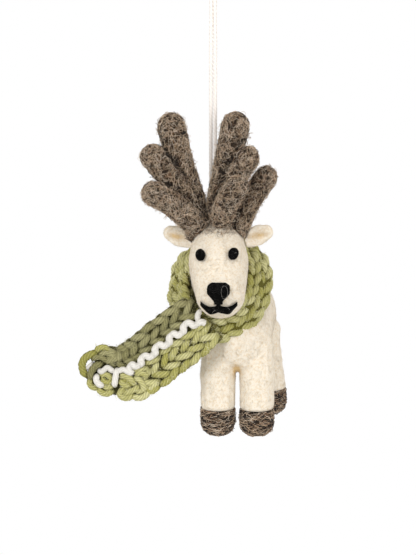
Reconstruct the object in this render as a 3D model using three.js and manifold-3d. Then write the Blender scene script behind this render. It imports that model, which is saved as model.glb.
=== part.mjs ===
// Felted wool reindeer that hangs on a string loop and wears a knitted scarf.
// Millimetres, +Z up. The face looks along -Y and the viewer's right is +X.
// The forms are made with the soles at height 0, between the front legs at X 0; at the end the
// whole group is moved so that the origin is the inside of the loop's eye, where it hangs.

import * as THREE from 'three';
import { mergeVertices } from 'three/addons/utils/BufferGeometryUtils.js';
import Module from 'manifold-3d';

const wasm = await Module();
wasm.setup();

// Gaps and overruns
const clearance = 0.3; // between neighbouring pieces
const overrun = 40; // how far a cutting block reaches past what it cuts

// Torso
const torsoLength = 55;
const torsoWidth = 26.5;
const torsoHeight = 32.8;
const bellyHeight = 23.7; // underside of the torso above the soles

// Legs and hooves
const legRadius = 6.4;
const frontTrack = 14.6; // between the axes of the front legs
const rearTrack = 20.8;
const rearShift = 0.5; // the rear legs stand this far to the viewer's right
const wheelbase = 43; // between the front and the rear leg axes
const hoofHeight = 10;
const hoofSwell = 0.2; // the dark felt stands this far proud of the leg
const soleCut = 0.5; // depth of the flat cut under each hoof

// Neck and head
const neckRadius = 11.4;
const headWidth = 22.2;
const headHeight = 34.6; // chin to crown
const headReach = 32.4; // nape to the front of the muzzle
const chinHeight = 46.2; // above the soles
const headShift = 6.5; // the head leans this far to the viewer's left
const headForward = 28; // middle of the head ahead of the middle of the torso

// Face patches
const patchThickness = 0.9;
const noseThickness = 1.7;
const eyeWidth = 3.8;
const eyeHeight = 4.05;
const eyeSpacing = 12.1;
const eyeRise = 23.7; // above the chin
const eyeSlip = 0.4; // the eyes lie this far to the viewer's left of the head's middle
const eyeTilt = 0.5; // the eye on the viewer's right lies this much higher
const noseSlip = 0.7; // and the nose and the mouth this far to its right
const noseWidth = 8.4;
const noseHeight = 6.6;
const noseRise = 11.3;
const stemWidth = 3.2;
const mouthWidth = 13.6;
const mouthHeight = 2.3;
const mouthRise = 5.65;
const mouthStroke = 2.7;

// Ears
const earLength = 12.4;
const rightEarLength = 11.6;
const rightEarLift = 0.9; // the ear on the viewer's right sits this much higher
const earWidth = 8.2;
const earThickness = 3.4;

// Antlers
const antlerHeight = 42; // from the roots, inside the head, to the top of the beams
const tineRadius = 5.2;

// Tail of the reindeer
const stubLength = 9;
const stubRadius = 3.2;

// Scarf
const knitThickness = 4.4;
const yarnDiameter = 2.1;
const collarRadius = 20.3; // outer edge of the collar
const collarDepth = 12.6; // along the slanting face of the collar
const collarDrop = 6.2; // the front hangs this much lower
const scarfWidth = 22.4;
const tailReach = 45.5; // from the chin to the far end of the loose tail
const tailThickness = 4.2;
const hingeGap = 0.45; // between the near and the far half of the loose tail
const endLoopRadius = 4.2;
const endLoopThickness = 2.6;

// String
const stringDiameter = 1.45;
const knotRadius = 1.9;
const flexRadius = 1.2; // the little knot at the felt, on which the reindeer swings
const anchorRadius = 2.0; // the knot inside the head
const anchorDepth = 7;

// Finishes
const finish = (color, roughness) => new THREE.MeshStandardMaterial({ color, roughness, metalness: 0 });
const creamFelt = finish(0xefe5d3, 0.95);
const brownFelt = finish(0x6b5a4c, 0.97);
const blackFelt = finish(0x17161a, 0.9);
const lightYarn = finish(0xa3ad54, 0.9);
const darkYarn = finish(0x7a8042, 0.92);
const whiteYarn = finish(0xf1eee6, 0.9);
const stringCotton = finish(0xece4da, 0.9);

const vec = (x, y, z) => new THREE.Vector3(x, y, z);

// Solids from meshes and back

function solidFromMesh(positions, triangles) {
  const mesh = new wasm.Mesh({
    numProp: 3,
    vertProperties: new Float32Array(positions),
    triVerts: new Uint32Array(triangles),
  });
  return new wasm.Manifold(mesh);
}

function solidFromGeometry(geometry) {
  const bare = geometry.clone();
  bare.deleteAttribute('normal');
  bare.deleteAttribute('uv');
  const merged = mergeVertices(bare);
  return solidFromMesh(merged.attributes.position.array, merged.index.array);
}

function geometryFromSolid(solid) {
  const mesh = solid.getMesh();
  const geometry = new THREE.BufferGeometry();
  geometry.setAttribute('position', new THREE.BufferAttribute(Float32Array.from(mesh.vertProperties), 3));
  geometry.setIndex(new THREE.BufferAttribute(Uint32Array.from(mesh.triVerts), 1));
  geometry.computeVertexNormals();
  return geometry;
}

// The largest body of a cut solid: a cut can leave a thin sliver behind
function largestBody(solid) {
  const bodies = solid.decompose();
  return bodies.reduce((best, body) => (body.volume() > best.volume() ? body : best));
}

// Joins rings of points, all alike in number, into a closed surface. With poles the ends close on
// them; without poles the last ring joins the first.
function skinRings(rings, poles) {
  const sides = rings[0].length;
  const positions = rings.flat().flatMap((p) => [p.x, p.y, p.z]);
  const triangles = [];
  const at = (ring, side) => (ring % rings.length) * sides + (side % sides);
  const lastRing = poles ? rings.length - 1 : rings.length;
  for (let ring = 0; ring < lastRing; ring += 1) {
    for (let side = 0; side < sides; side += 1) {
      triangles.push(at(ring, side), at(ring, side + 1), at(ring + 1, side + 1));
      triangles.push(at(ring, side), at(ring + 1, side + 1), at(ring + 1, side));
    }
  }
  if (poles) {
    const startPole = rings.length * sides;
    const endPole = startPole + 1;
    poles.forEach((p) => positions.push(p.x, p.y, p.z));
    for (let side = 0; side < sides; side += 1) {
      triangles.push(startPole, at(0, side + 1), at(0, side));
      triangles.push(endPole, at(rings.length - 1, side), at(rings.length - 1, side + 1));
    }
  }
  return solidFromMesh(positions, triangles);
}

// A felted form: oval rings about a smooth spine, closed by domes. A spine point is
// { at, wide, deep }: its place and its two half sizes, wide lying along the across direction.
// grow swells the form all round, to cut room for it in a neighbour.
function feltForm(spine, { across, sides = 20, steps = 8, domeShare = 1, grow = 0 }) {
  const path = new THREE.CatmullRomCurve3(spine.map((s) => s.at));
  const sizes = new THREE.CatmullRomCurve3(spine.map((s) => vec(s.wide, s.deep ?? s.wide, 0)));
  const domeSteps = Math.ceil(sides / 5);
  const ringAt = (t, shift, shrink) => {
    const tangent = path.getTangent(t);
    const a = across.clone().addScaledVector(tangent, -across.dot(tangent)).normalize();
    const b = tangent.clone().cross(a);
    const size = sizes.getPoint(t);
    const centre = path.getPoint(t).addScaledVector(tangent, shift);
    return Array.from({ length: sides }, (_, side) => {
      const turn = (side / sides) * 2 * Math.PI;
      return centre
        .clone()
        .addScaledVector(a, (size.x + grow) * shrink * Math.cos(turn))
        .addScaledVector(b, (size.y + grow) * shrink * Math.sin(turn));
    });
  };
  const domeLength = (t) => {
    const size = sizes.getPoint(t);
    return Math.min(size.x, size.y) * domeShare + grow;
  };
  const rings = [];
  for (let k = domeSteps - 1; k > 0; k -= 1) {
    const rise = (k / domeSteps) * (Math.PI / 2);
    rings.push(ringAt(0, -domeLength(0) * Math.sin(rise), Math.cos(rise)));
  }
  for (let k = 0; k <= steps; k += 1) rings.push(ringAt(k / steps, 0, 1));
  for (let k = 1; k < domeSteps; k += 1) {
    const rise = (k / domeSteps) * (Math.PI / 2);
    rings.push(ringAt(1, domeLength(1) * Math.sin(rise), Math.cos(rise)));
  }
  const poles = [
    path.getPoint(0).addScaledVector(path.getTangent(0), -domeLength(0)),
    path.getPoint(1).addScaledVector(path.getTangent(1), domeLength(1)),
  ];
  return skinRings(rings, poles);
}

// A block between two heights, as wide as the overrun, to trim a form level
function slab(low, high) {
  const block = new THREE.BoxGeometry(torsoLength + overrun, torsoLength + overrun, high - low);
  block.translate(0, 0, (low + high) / 2);
  return solidFromGeometry(block);
}

function ball(centre, radius) {
  const geometry = new THREE.SphereGeometry(radius, 10, 7);
  geometry.translate(centre.x, centre.y, centre.z);
  return solidFromGeometry(geometry);
}

// Torso: shares of its length, width and height, from the chest to the rump
const torsoShares = [
  { along: -0.3, up: -0.13, wide: 0.92, deep: 0.76 },
  { along: -0.12, up: -0.02, wide: 0.97, deep: 0.93 },
  { along: 0.1, up: 0.01, wide: 1, deep: 0.98 },
  { along: 0.28, up: 0, wide: 1, deep: 0.97 },
];
const torsoMiddle = bellyHeight + torsoHeight / 2;
const chestDomeShare = 0.94;

function torso(grow = 0) {
  const spine = torsoShares.map((share) => ({
    at: vec(0, share.along * torsoLength, torsoMiddle + share.up * torsoHeight),
    wide: (share.wide * torsoWidth) / 2,
    deep: (share.deep * torsoHeight) / 2,
  }));
  return feltForm(spine, { across: vec(1, 0, 0), steps: 6, domeShare: chestDomeShare, grow });
}

// Legs: from the hip, inside the torso, to the sole
const hipShares = { track: 0.82, wheelbase: 0.84, height: 0.3 };
const hoofDomeShare = 0.8;

function leg(side, end, grow = 0) {
  const track = end < 0 ? frontTrack : rearTrack;
  const hipTrack = end < 0 ? frontTrack : rearTrack * hipShares.track;
  const shift = end < 0 ? 0 : rearShift;
  const footEnd = legRadius * hoofDomeShare - soleCut;
  const hip = vec(
    (side * hipTrack) / 2 + shift,
    (end * wheelbase * hipShares.wheelbase) / 2,
    bellyHeight + torsoHeight * hipShares.height,
  );
  const foot = vec((side * track) / 2 + shift, (end * wheelbase) / 2, footEnd);
  const spine = [
    { at: hip, wide: legRadius },
    { at: hip.clone().lerp(foot, 0.5), wide: legRadius },
    { at: foot, wide: legRadius },
  ];
  return feltForm(spine, { across: vec(1, 0, 0), sides: 14, steps: 4, domeShare: hoofDomeShare, grow });
}

// Head: shares of its size, from the skull at the back to the muzzle in front and below
const headShares = [
  { side: -0.03, along: 0.185, up: 0.702, wide: 0.93 },
  { side: -0.014, along: 0.06, up: 0.572, wide: 1 },
  { side: 0.014, along: -0.093, up: 0.413, wide: 0.93 },
  { side: 0.04, along: -0.216, up: 0.269, wide: 0.83 },
];
const headMiddle = vec(-headShift, -headForward, chinHeight);

// A place counted in shares of the head's size from the middle of its underside
const headPoint = ({ side, along, up }) =>
  headMiddle.clone().add(vec(side * headWidth, along * headReach, up * headHeight));

function head(grow = 0) {
  const spine = headShares.map((share) => ({
    at: headPoint(share),
    wide: (share.wide * headWidth) / 2,
  }));
  return feltForm(spine, { across: vec(1, 0, 0), sides: 22, steps: 6, grow });
}

// Neck: from the shoulders to the skull
const collarCentre = headPoint({ side: -0.025, along: 0.42, up: 0.4 });
const nape = headPoint({ side: -0.02, along: 0.23, up: 0.6 });
const neckShares = { shoulderBack: 0.11, shoulderUp: 0.62, flare: 1.15, waist: 0.84 };

function neck(grow = 0) {
  const shoulder = vec(
    -headShift * 0.5,
    -torsoLength * neckShares.shoulderBack,
    bellyHeight + torsoHeight * neckShares.shoulderUp,
  );
  const spine = [
    { at: shoulder, wide: neckRadius * neckShares.flare },
    { at: collarCentre, wide: neckRadius },
    { at: nape, wide: neckRadius * neckShares.waist },
  ];
  return feltForm(spine, { across: vec(1, 0, 0), sides: 16, steps: 5, grow });
}

// Ears: shares of the ear's length along and of its width across, from the root to the tip
const earRootShare = { side: 0.387, along: 0.216, up: 0.7225 };
const earLeanShare = -0.018;
const earDomeShare = 2;
const earShares = [
  { out: -0.1, up: 0.02, wide: 0.42, deep: 0.8 },
  { out: 0.28, up: 0.19, wide: 0.84, deep: 1 },
  { out: 0.54, up: 0.31, wide: 0.95, deep: 1 },
  { out: 0.77, up: 0.4, wide: 0.72, deep: 0.8 },
];

function ear(side, grow = 0) {
  const root = headPoint({ ...earRootShare, side: side * earRootShare.side + earLeanShare });
  const length = side < 0 ? earLength : rightEarLength;
  const lift = side < 0 ? 0 : rightEarLift;
  const spine = earShares.map((share) => ({
    at: root.clone().add(vec(side * share.out * length, 0, share.up * length + lift)),
    wide: (share.deep * earThickness) / 2,
    deep: (share.wide * earWidth) / 2,
  }));
  return feltForm(spine, { across: vec(0, 1, 0), sides: 12, steps: 6, domeShare: earDomeShare, grow });
}

// Antlers: each beam and tine has shares of the antlers' height for its place, counted from the
// middle between their roots, and of the tine radius for its thickness
const tineShares = {
  antler_left_beam: [
    [-0.17, 0.01, -0.04, 1.02],
    [-0.225, 0.015, 0.3, 0.92],
    [-0.325, 0.015, 0.57, 0.94],
    [-0.412, -0.01, 0.95, 1.02],
  ],
  antler_right_beam: [
    [0.06, 0.01, -0.04, 1],
    [0, 0.015, 0.26, 0.93],
    [0.055, 0.02, 0.5, 0.93],
    [0.148, 0.02, 0.955, 1.03],
  ],
  antler_left_mid: [
    [-0.17, -0.02, 0.02, 0.9],
    [-0.29, -0.06, 0.33, 0.88],
    [-0.44, -0.09, 0.53, 0.9],
    [-0.567, -0.11, 0.69, 0.95],
  ],
  antler_left_low: [
    [-0.17, -0.03, 0.07, 0.95],
    [-0.275, -0.14, 0.18, 0.93],
    [-0.41, -0.2, 0.3, 0.9],
    [-0.55, -0.25, 0.38, 0.92],
  ],
  antler_right_mid: [
    [0.06, -0.02, 0, 0.9],
    [0.07, -0.05, 0.3, 0.86],
    [0.15, -0.07, 0.5, 0.86],
    [0.26, -0.07, 0.683, 0.88],
  ],
  antler_right_outer: [
    [0.15, 0, 0.01, 0.84],
    [0.22, 0.03, 0.17, 0.8],
    [0.31, 0.06, 0.34, 0.8],
    [0.417, 0.08, 0.498, 0.84],
  ],
  antler_right_front: [
    [0.035, -0.01, 0.08, 0.88],
    [0.045, -0.155, 0.2, 0.88],
    [0.11, -0.25, 0.335, 0.86],
    [0.188, -0.3, 0.452, 0.82],
  ],
};
const antlerRoot = headPoint({ side: -0.03, along: 0.2, up: 0.86 });

function tine(name, grow = 0) {
  const spine = tineShares[name].map(([side, along, up, thick]) => ({
    at: antlerRoot.clone().add(vec(side, along, up).multiplyScalar(antlerHeight)),
    wide: thick * tineRadius,
  }));
  return feltForm(spine, { across: vec(0, 1, 0), sides: 12, steps: 6, grow });
}

// Face patches: an outline pressed through the face and kept as a layer just off the head
function facePatch(outline, thickness, slip = 0) {
  const prism = new THREE.ExtrudeGeometry(outline, { depth: headReach, bevelEnabled: false });
  prism.rotateX(Math.PI / 2);
  prism.translate(headMiddle.x + slip, headMiddle.y, headMiddle.z);
  const layer = head(clearance + thickness).subtract(head(clearance));
  return largestBody(solidFromGeometry(prism).intersect(layer));
}

function ovalOutline(x, z, width, height) {
  const outline = new THREE.Shape();
  outline.absellipse(x, z, width / 2, height / 2, 0, 2 * Math.PI, false, 0);
  return new THREE.Shape(outline.getPoints(14).slice(0, -1));
}

// The nose: a rounded shield with a stem down to the mouth, in shares of its half width and height
const noseShares = { top: 0.5, cheek: 0.75, cheekRise: 0.2, widest: 0.15 };

function noseOutline() {
  const w = noseWidth / 2;
  const top = noseRise + noseHeight / 2;
  const low = noseRise - noseHeight / 2;
  const cheek = low + noseHeight * noseShares.cheekRise;
  const widest = noseRise + noseHeight * noseShares.widest;
  const stem = stemWidth / 2;
  const stemEnd = mouthRise + mouthHeight / 2;
  const outline = new THREE.Shape();
  outline.moveTo(-stem, stemEnd);
  outline.lineTo(-stem, low);
  outline.quadraticCurveTo(-w * noseShares.cheek, cheek, -w, widest);
  outline.quadraticCurveTo(-w, top, -w * noseShares.top, top);
  outline.lineTo(w * noseShares.top, top);
  outline.quadraticCurveTo(w, top, w, widest);
  outline.quadraticCurveTo(w * noseShares.cheek, cheek, stem, low);
  outline.lineTo(stem, stemEnd);
  return new THREE.Shape(outline.getPoints(4));
}

// The mouth's line: two sagging strokes that meet under the nose
const mouthSagShare = 0.42; // where each stroke hangs lowest, from the middle to its end
const mouthPeakShare = 0.25; // rise of the middle over the lowest places
const mouthTaperShare = 0.42; // how much the ends are thinner

function mouthOutline() {
  const half = mouthWidth / 2;
  const height = (x) => {
    const s = Math.abs(x) / half;
    const inner = mouthPeakShare * ((mouthSagShare - s) / mouthSagShare) ** 2;
    const outer = ((s - mouthSagShare) / (1 - mouthSagShare)) ** 2;
    return mouthRise + mouthHeight * ((s < mouthSagShare ? inner : outer) - 0.5);
  };
  const thick = (x) => mouthStroke * (1 - mouthTaperShare * (x / half) ** 2);
  const steps = 7;
  const line = Array.from({ length: 2 * steps + 1 }, (_, k) => ((k - steps) / steps) * half);
  const upper = line.map((x) => new THREE.Vector2(x, height(x) + thick(x) / 2));
  const lower = line.map((x) => new THREE.Vector2(x, height(x) - thick(x) / 2));
  return new THREE.Shape([...lower, ...upper.reverse()]);
}

// Scarf collar: slanting rings about the neck. The light half lies outside, the dark half is
// folded under it, and the white row runs along the fold, close to the head.
const collarTilt = (50 * Math.PI) / 180; // of the neck's axis, forward from upright
const collarRoll = 0.09; // the collar's left side sits this much higher, as a slope
const collarLean = -0.08; // of the same axis, to the side
const collarOut = vec(collarLean, -Math.sin(collarTilt), Math.cos(collarTilt)).normalize();
const collarAcross = vec(1, 0, -collarRoll);
const collarSide = collarAcross.addScaledVector(collarOut, -collarAcross.dot(collarOut)).normalize();
const collarRise = collarOut.clone().cross(collarSide);
const collarSlant = Math.PI / 3.4; // of the collar's face to the neck's axis
const slantShare = 0.8; // how much of the slant opens the ring
const collarSteps = 30;
const collarHeight = -1; // middle of the collar behind its centre, along the neck
const foldShares = { depth: 0.8, thickness: 0.8 };

// The outline of a knitted edge: a strip with rounded sides, about the middle of the strip
function stripSection(width, thickness) {
  const corner = 3;
  const half = Math.min(thickness, width) / 2;
  const inset = width / 2 - half;
  const rise = thickness / 2;
  const points = [];
  for (let k = 0; k <= corner; k += 1) {
    const turn = -Math.PI / 2 + (k / corner) * Math.PI;
    points.push([inset + half * Math.cos(turn), rise * Math.sin(turn)]);
  }
  for (let k = 0; k <= corner; k += 1) {
    const turn = Math.PI / 2 + (k / corner) * Math.PI;
    points.push([-inset + half * Math.cos(turn), rise * Math.sin(turn)]);
  }
  return points;
}

// A ring of knit: radius and height are the middle of its section, counted from the collar's
// centre, across and along the neck's axis
function collarRing(radius, height, width, thickness) {
  const section = stripSection(width, thickness);
  const rings = Array.from({ length: collarSteps }, (_, step) => {
    const turn = (step / collarSteps) * 2 * Math.PI;
    const ray = collarSide.clone().multiplyScalar(Math.cos(turn));
    ray.addScaledVector(collarRise, Math.sin(turn));
    const drop = collarDrop * Math.max(0, -Math.sin(turn)) ** 2;
    return section.map(([along, off]) => {
      const r = radius + drop - along * Math.sin(collarSlant) * slantShare + off * Math.cos(collarSlant);
      const h = height + along * Math.cos(collarSlant) + off * Math.sin(collarSlant);
      return collarCentre.clone().addScaledVector(ray, r).addScaledVector(collarOut, h);
    });
  });
  return skinRings(rings, null);
}

// The light ring's middle lies so that its outer edge reaches the collar's radius
const slantOut = Math.sin(collarSlant) * slantShare;
const collarEdge = (knitThickness / 2) * Math.cos(collarSlant) + (collarDepth / 2) * slantOut;
const collarMiddle = collarRadius - collarEdge;
const foldedDepth = collarDepth * foldShares.depth;
const foldedThickness = knitThickness * foldShares.thickness;
const foldStep = (knitThickness + foldedThickness) / 2 + clearance;

function collarLight(grow = 0) {
  return collarRing(collarMiddle, collarHeight, collarDepth + 2 * grow, knitThickness + 2 * grow);
}

function collarDark(grow = 0) {
  const radius = collarMiddle - foldStep * Math.cos(collarSlant);
  const height = collarHeight - foldStep * Math.sin(collarSlant);
  return collarRing(radius, height, foldedDepth + 2 * grow, foldedThickness + 2 * grow);
}

function collarWhite() {
  const radius = collarMiddle - (collarDepth / 2) * slantOut - yarnDiameter;
  const height = collarHeight + (collarDepth / 2) * Math.cos(collarSlant) - yarnDiameter / 2;
  return collarRing(radius, height, yarnDiameter, yarnDiameter);
}

// Loose tail of the scarf: a strip that leaves from under the chin towards -X. Shares of its
// reach give its place, counted from the chin, and shares of the scarf's width its width.
const looseShares = [
  { out: 0, up: 0, front: 0, wide: 0.93 },
  { out: 0.16, up: -0.125, front: 0.012, wide: 1 },
  { out: 0.345, up: -0.27, front: 0.015, wide: 0.99 },
  { out: 0.51, up: -0.395, front: -0.005, wide: 0.97 },
  { out: 0.67, up: -0.45, front: -0.03, wide: 0.89 },
  { out: 0.835, up: -0.41, front: -0.045, wide: 0.72 },
  { out: 0.93, up: -0.365, front: -0.04, wide: 0.56 },
];
const looseBands = { dark: [0, 0.39], white: [0.39, 0.49], light: [0.49, 1] };
const whiteShare = 0.8; // the single white row is this much as thick as the rest
const bendShare = 0.52; // where along its length the loose tail bends
const looseRoot = headPoint({ side: -0.27, along: -0.093, up: -0.027 });

const loosePath = new THREE.CatmullRomCurve3(
  looseShares.map((s) => looseRoot.clone().add(vec(-s.out, -s.front, s.up).multiplyScalar(tailReach))),
);
const looseWidths = new THREE.CatmullRomCurve3(looseShares.map((s) => vec(s.wide * scarfWidth, 0, 0)));

const capShare = 0.83; // how far round the ends of the bands are domed

// The strip's own directions: along it, down across its width, and off its face
function looseFrame(t) {
  const along = loosePath.getTangent(t);
  const off = vec(0, -1, 0).addScaledVector(along, along.y).normalize();
  const down = off.clone().cross(along).normalize();
  return { at: loosePath.getPoint(t), along, off, down };
}

function looseBand([upper, lower], from, to, thickness, grow = 0) {
  const steps = 6;
  const capSteps = 2;
  const ringAt = (t, shift, shrink) => {
    const { at, along, off, down } = looseFrame(t);
    const width = looseWidths.getPoint(t).x;
    const middle = ((upper + lower) / 2 - 0.5) * width;
    const span = (lower - upper) * width - clearance + 2 * grow;
    return stripSection(span, thickness + 2 * grow).map(([across, rise]) =>
      at
        .clone()
        .addScaledVector(along, shift)
        .addScaledVector(down, middle + across)
        .addScaledVector(off, rise * shrink),
    );
  };
  const cap = thickness / 2 + grow;
  const rings = [];
  for (let k = capSteps; k > 0; k -= 1) {
    const rise = (k / capSteps) * capShare * (Math.PI / 2);
    rings.push(ringAt(from, cap * (1 - Math.sin(rise)), Math.cos(rise)));
  }
  for (let k = 0; k <= steps; k += 1) {
    const t = THREE.MathUtils.lerp(from, to, k / steps);
    const shift = k === 0 ? cap : k === steps ? -cap : 0;
    rings.push(ringAt(t, shift, 1));
  }
  for (let k = 1; k <= capSteps; k += 1) {
    const rise = (k / capSteps) * capShare * (Math.PI / 2);
    rings.push(ringAt(to, cap * (Math.sin(rise) - 1), Math.cos(rise)));
  }
  const middleOf = (ring) => ring.reduce((sum, p) => sum.add(p), vec(0, 0, 0)).divideScalar(ring.length);
  return skinRings(rings, [middleOf(rings[0]), middleOf(rings[rings.length - 1])]);
}

// The near and the far half of the loose tail stand a hinge gap apart
const looseLength = loosePath.getLength();
const gapShare = hingeGap / looseLength / 2;
const nearSpan = [0, bendShare - gapShare];
const farSpan = [bendShare + gapShare, 1];

// A length of yarn or string: a round tube along a smooth path
function yarn(points, diameter, steps) {
  const outline = new THREE.Shape();
  outline.absarc(0, 0, diameter / 2, 0, 2 * Math.PI, false);
  const ring = new THREE.Shape(outline.getPoints(4).slice(0, -1));
  const path = new THREE.CatmullRomCurve3(points);
  const tube = new THREE.ExtrudeGeometry(ring, { steps, extrudePath: path, bevelEnabled: false });
  return solidFromGeometry(tube);
}

// The turned edge at the far end: a thick loop of yarn about the strip's end
const loopShares = { at: 0.96, start: 1.3, end: 5.2 };

function endLoop(grow = 0) {
  const { at, along, down } = looseFrame(loopShares.at);
  const steps = 10;
  const points = Array.from({ length: steps + 1 }, (_, k) => {
    const turn = THREE.MathUtils.lerp(loopShares.start, loopShares.end, k / steps);
    return at
      .clone()
      .addScaledVector(along, -endLoopRadius * Math.cos(turn))
      .addScaledVector(down, -endLoopRadius * Math.sin(turn));
  });
  return yarn(points, endLoopThickness + 2 * grow, 12);
}

// Two sewn white stitches on the face of the far half, as shares along it and across its width
const stitchShares = {
  scarf_stitch_inner: { from: [0.703, -0.06], to: [0.7, 0.28] },
  scarf_stitch_outer: { from: [0.872, 0.2], to: [0.79, 0.33] },
};

function stitch({ from, to }) {
  const place = ([t, across]) => {
    const { at, off, down } = looseFrame(t);
    const lift = tailThickness / 2 + yarnDiameter / 2 + clearance;
    return at.addScaledVector(down, across * looseWidths.getPoint(t).x).addScaledVector(off, lift);
  };
  const spine = [place(from), place(from).lerp(place(to), 0.5), place(to)].map((at) => ({
    at,
    wide: yarnDiameter / 2,
  }));
  return feltForm(spine, { across: vec(0, 1, 0), sides: 8, steps: 3 });
}

// Tail of the reindeer, a short stub at the rump, in shares of its length and radius
const stubShares = [
  { along: -0.5, up: -0.2, thick: 0.8 },
  { along: 0.05, up: 0.1, thick: 1 },
  { along: 0.4, up: 0.02, thick: 0.7 },
];
const rumpShare = 0.2; // height of the stub's root over the middle of the torso

function stub() {
  const rump = vec(0, torsoLength / 2, torsoMiddle + torsoHeight * rumpShare);
  const spine = stubShares.map((share) => ({
    at: rump.clone().add(vec(0, share.along, share.up).multiplyScalar(stubLength)),
    wide: stubRadius * share.thick,
  }));
  return feltForm(spine, { across: vec(1, 0, 0), sides: 10, steps: 4 });
}

// String: the flexing knot at the felt, the knot that ties both strands, and the loop above them.
// The loop's route is counted from the top of the tying knot.
const flexPoint = headPoint({ side: -0.14, along: 0.455, up: 0.868 });
const tiePoint = flexPoint.clone().add(vec(0, 0, flexRadius + clearance + knotRadius));
const stringFoot = tiePoint.clone().add(vec(0, 0, knotRadius + clearance));
const stringRoute = [
  [-0.8, 0, 0],
  [-0.8, 0, 21],
  [-0.8, 0, 42],
  [-0.8, 0, 63],
  [-0.8, 0, 81],
  [-2.6, 0, 86.5],
  [-4.2, 0, 91],
  [-3.1, 0, 94.9],
  [0, 0, 96.5],
  [3.1, 0, 94.9],
  [4.2, 0, 91],
  [2.6, 0, 86.5],
  [0.8, 0, 81],
  [0.8, 0, 63],
  [0.8, 0, 42],
  [0.8, 0, 21],
  [0.8, 0, 0],
];
const routeTop = Math.max(...stringRoute.map((p) => p[2]));
const stringSteps = 64;

const anchorWay = headPoint(headShares[0]).sub(flexPoint).normalize();
const anchorPoint = flexPoint.clone().addScaledVector(anchorWay, anchorDepth);

function rod(from, to, radius) {
  const way = to.clone().sub(from);
  const geometry = new THREE.CylinderGeometry(radius, radius, way.length(), 8);
  geometry.applyQuaternion(new THREE.Quaternion().setFromUnitVectors(vec(0, 1, 0), way.normalize()));
  const middle = from.clone().lerp(to, 0.5);
  geometry.translate(middle.x, middle.y, middle.z);
  return solidFromGeometry(geometry);
}

const anchorKnot = () => {
  const stemStart = flexPoint.clone().addScaledVector(anchorWay, flexRadius + clearance);
  return ball(anchorPoint, anchorRadius).add(rod(stemStart, anchorPoint, stringDiameter / 2));
};
const anchorPocket = () =>
  ball(anchorPoint, anchorRadius + clearance)
    .add(rod(flexPoint, anchorPoint, stringDiameter / 2 + clearance))
    .add(ball(flexPoint, flexRadius + clearance));

// Assembly
const ornament = new THREE.Group();
const felt = new THREE.Group();
const scarf = new THREE.Group();
const hanger = new THREE.Group();
ornament.add(felt, scarf, hanger);

function addPiece(group, name, solid, material) {
  const mesh = new THREE.Mesh(geometryFromSolid(largestBody(solid)), material);
  mesh.name = name;
  group.add(mesh);
}

const torsoRoom = torso(clearance);
const headRoom = head(clearance);
const neckRoom = neck(clearance);
addPiece(felt, 'torso', torso(), creamFelt);
addPiece(felt, 'head', head().subtract(anchorPocket()), creamFelt);
addPiece(felt, 'neck', neck().subtract(torsoRoom).subtract(headRoom), creamFelt);
addPiece(felt, 'tail_stub', stub().subtract(torsoRoom), creamFelt);

const legs = {
  leg_front_left: [-1, -1],
  leg_front_right: [1, -1],
  leg_rear_left: [-1, 1],
  leg_rear_right: [1, 1],
};
const aboveHooves = slab(hoofHeight + clearance, overrun + bellyHeight);
const belowLegs = slab(0, hoofHeight);
Object.entries(legs).forEach(([name, [side, end]]) => {
  addPiece(felt, name, leg(side, end).intersect(aboveHooves).subtract(torsoRoom), creamFelt);
  addPiece(felt, name.replace('leg', 'hoof'), leg(side, end, hoofSwell).intersect(belowLegs), brownFelt);
});

// Each tine is cut by the head and by the thicker ones listed before it
const tineNames = Object.keys(tineShares);
const tineRooms = tineNames.map((name) => tine(name, clearance));
const cutAway = (solid, rooms) => rooms.reduce((piece, room) => piece.subtract(room), solid);
tineNames.forEach((name, place) => {
  addPiece(felt, name, cutAway(tine(name), [headRoom, ...tineRooms.slice(0, place)]), brownFelt);
});
const ears = { ear_left: -1, ear_right: 1 };
Object.entries(ears).forEach(([name, side]) => {
  addPiece(felt, name, cutAway(ear(side), [headRoom, ...tineRooms]), creamFelt);
});

const eyeOutline = (side, rise) => ovalOutline((side * eyeSpacing) / 2 - eyeSlip, rise, eyeWidth, eyeHeight);
addPiece(felt, 'eye_left', facePatch(eyeOutline(-1, eyeRise), patchThickness), blackFelt);
addPiece(felt, 'eye_right', facePatch(eyeOutline(1, eyeRise + eyeTilt), patchThickness), blackFelt);
addPiece(felt, 'nose', facePatch(noseOutline(), noseThickness, noseSlip), blackFelt);
addPiece(felt, 'mouth', facePatch(mouthOutline(), patchThickness, noseSlip), blackFelt);
addPiece(felt, 'anchor_knot', anchorKnot(), stringCotton);

const bodyRooms = [torsoRoom, neckRoom, headRoom, ear(-1, clearance), ear(1, clearance)];
addPiece(scarf, 'scarf_wrap_light', cutAway(collarLight(), bodyRooms), lightYarn);
addPiece(scarf, 'scarf_wrap_dark', cutAway(collarDark(), bodyRooms), darkYarn);
addPiece(scarf, 'scarf_wrap_white', cutAway(collarWhite(), bodyRooms), whiteYarn);

const bandMaterials = { dark: darkYarn, white: whiteYarn, light: lightYarn };
Object.entries(looseBands).forEach(([band, shares]) => {
  const thickness = band === 'white' ? tailThickness * whiteShare : tailThickness;
  const near = looseBand(shares, nearSpan[0], nearSpan[1], thickness);
  const far = looseBand(shares, farSpan[0], farSpan[1], thickness);
  addPiece(scarf, `scarf_tail_near_${band}`, near.subtract(headRoom), bandMaterials[band]);
  addPiece(scarf, `scarf_tail_far_${band}`, far.subtract(endLoop(clearance)), bandMaterials[band]);
});
addPiece(scarf, 'scarf_end_loop', endLoop(), lightYarn);
Object.entries(stitchShares).forEach(([name, places]) => addPiece(scarf, name, stitch(places), whiteYarn));

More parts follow.
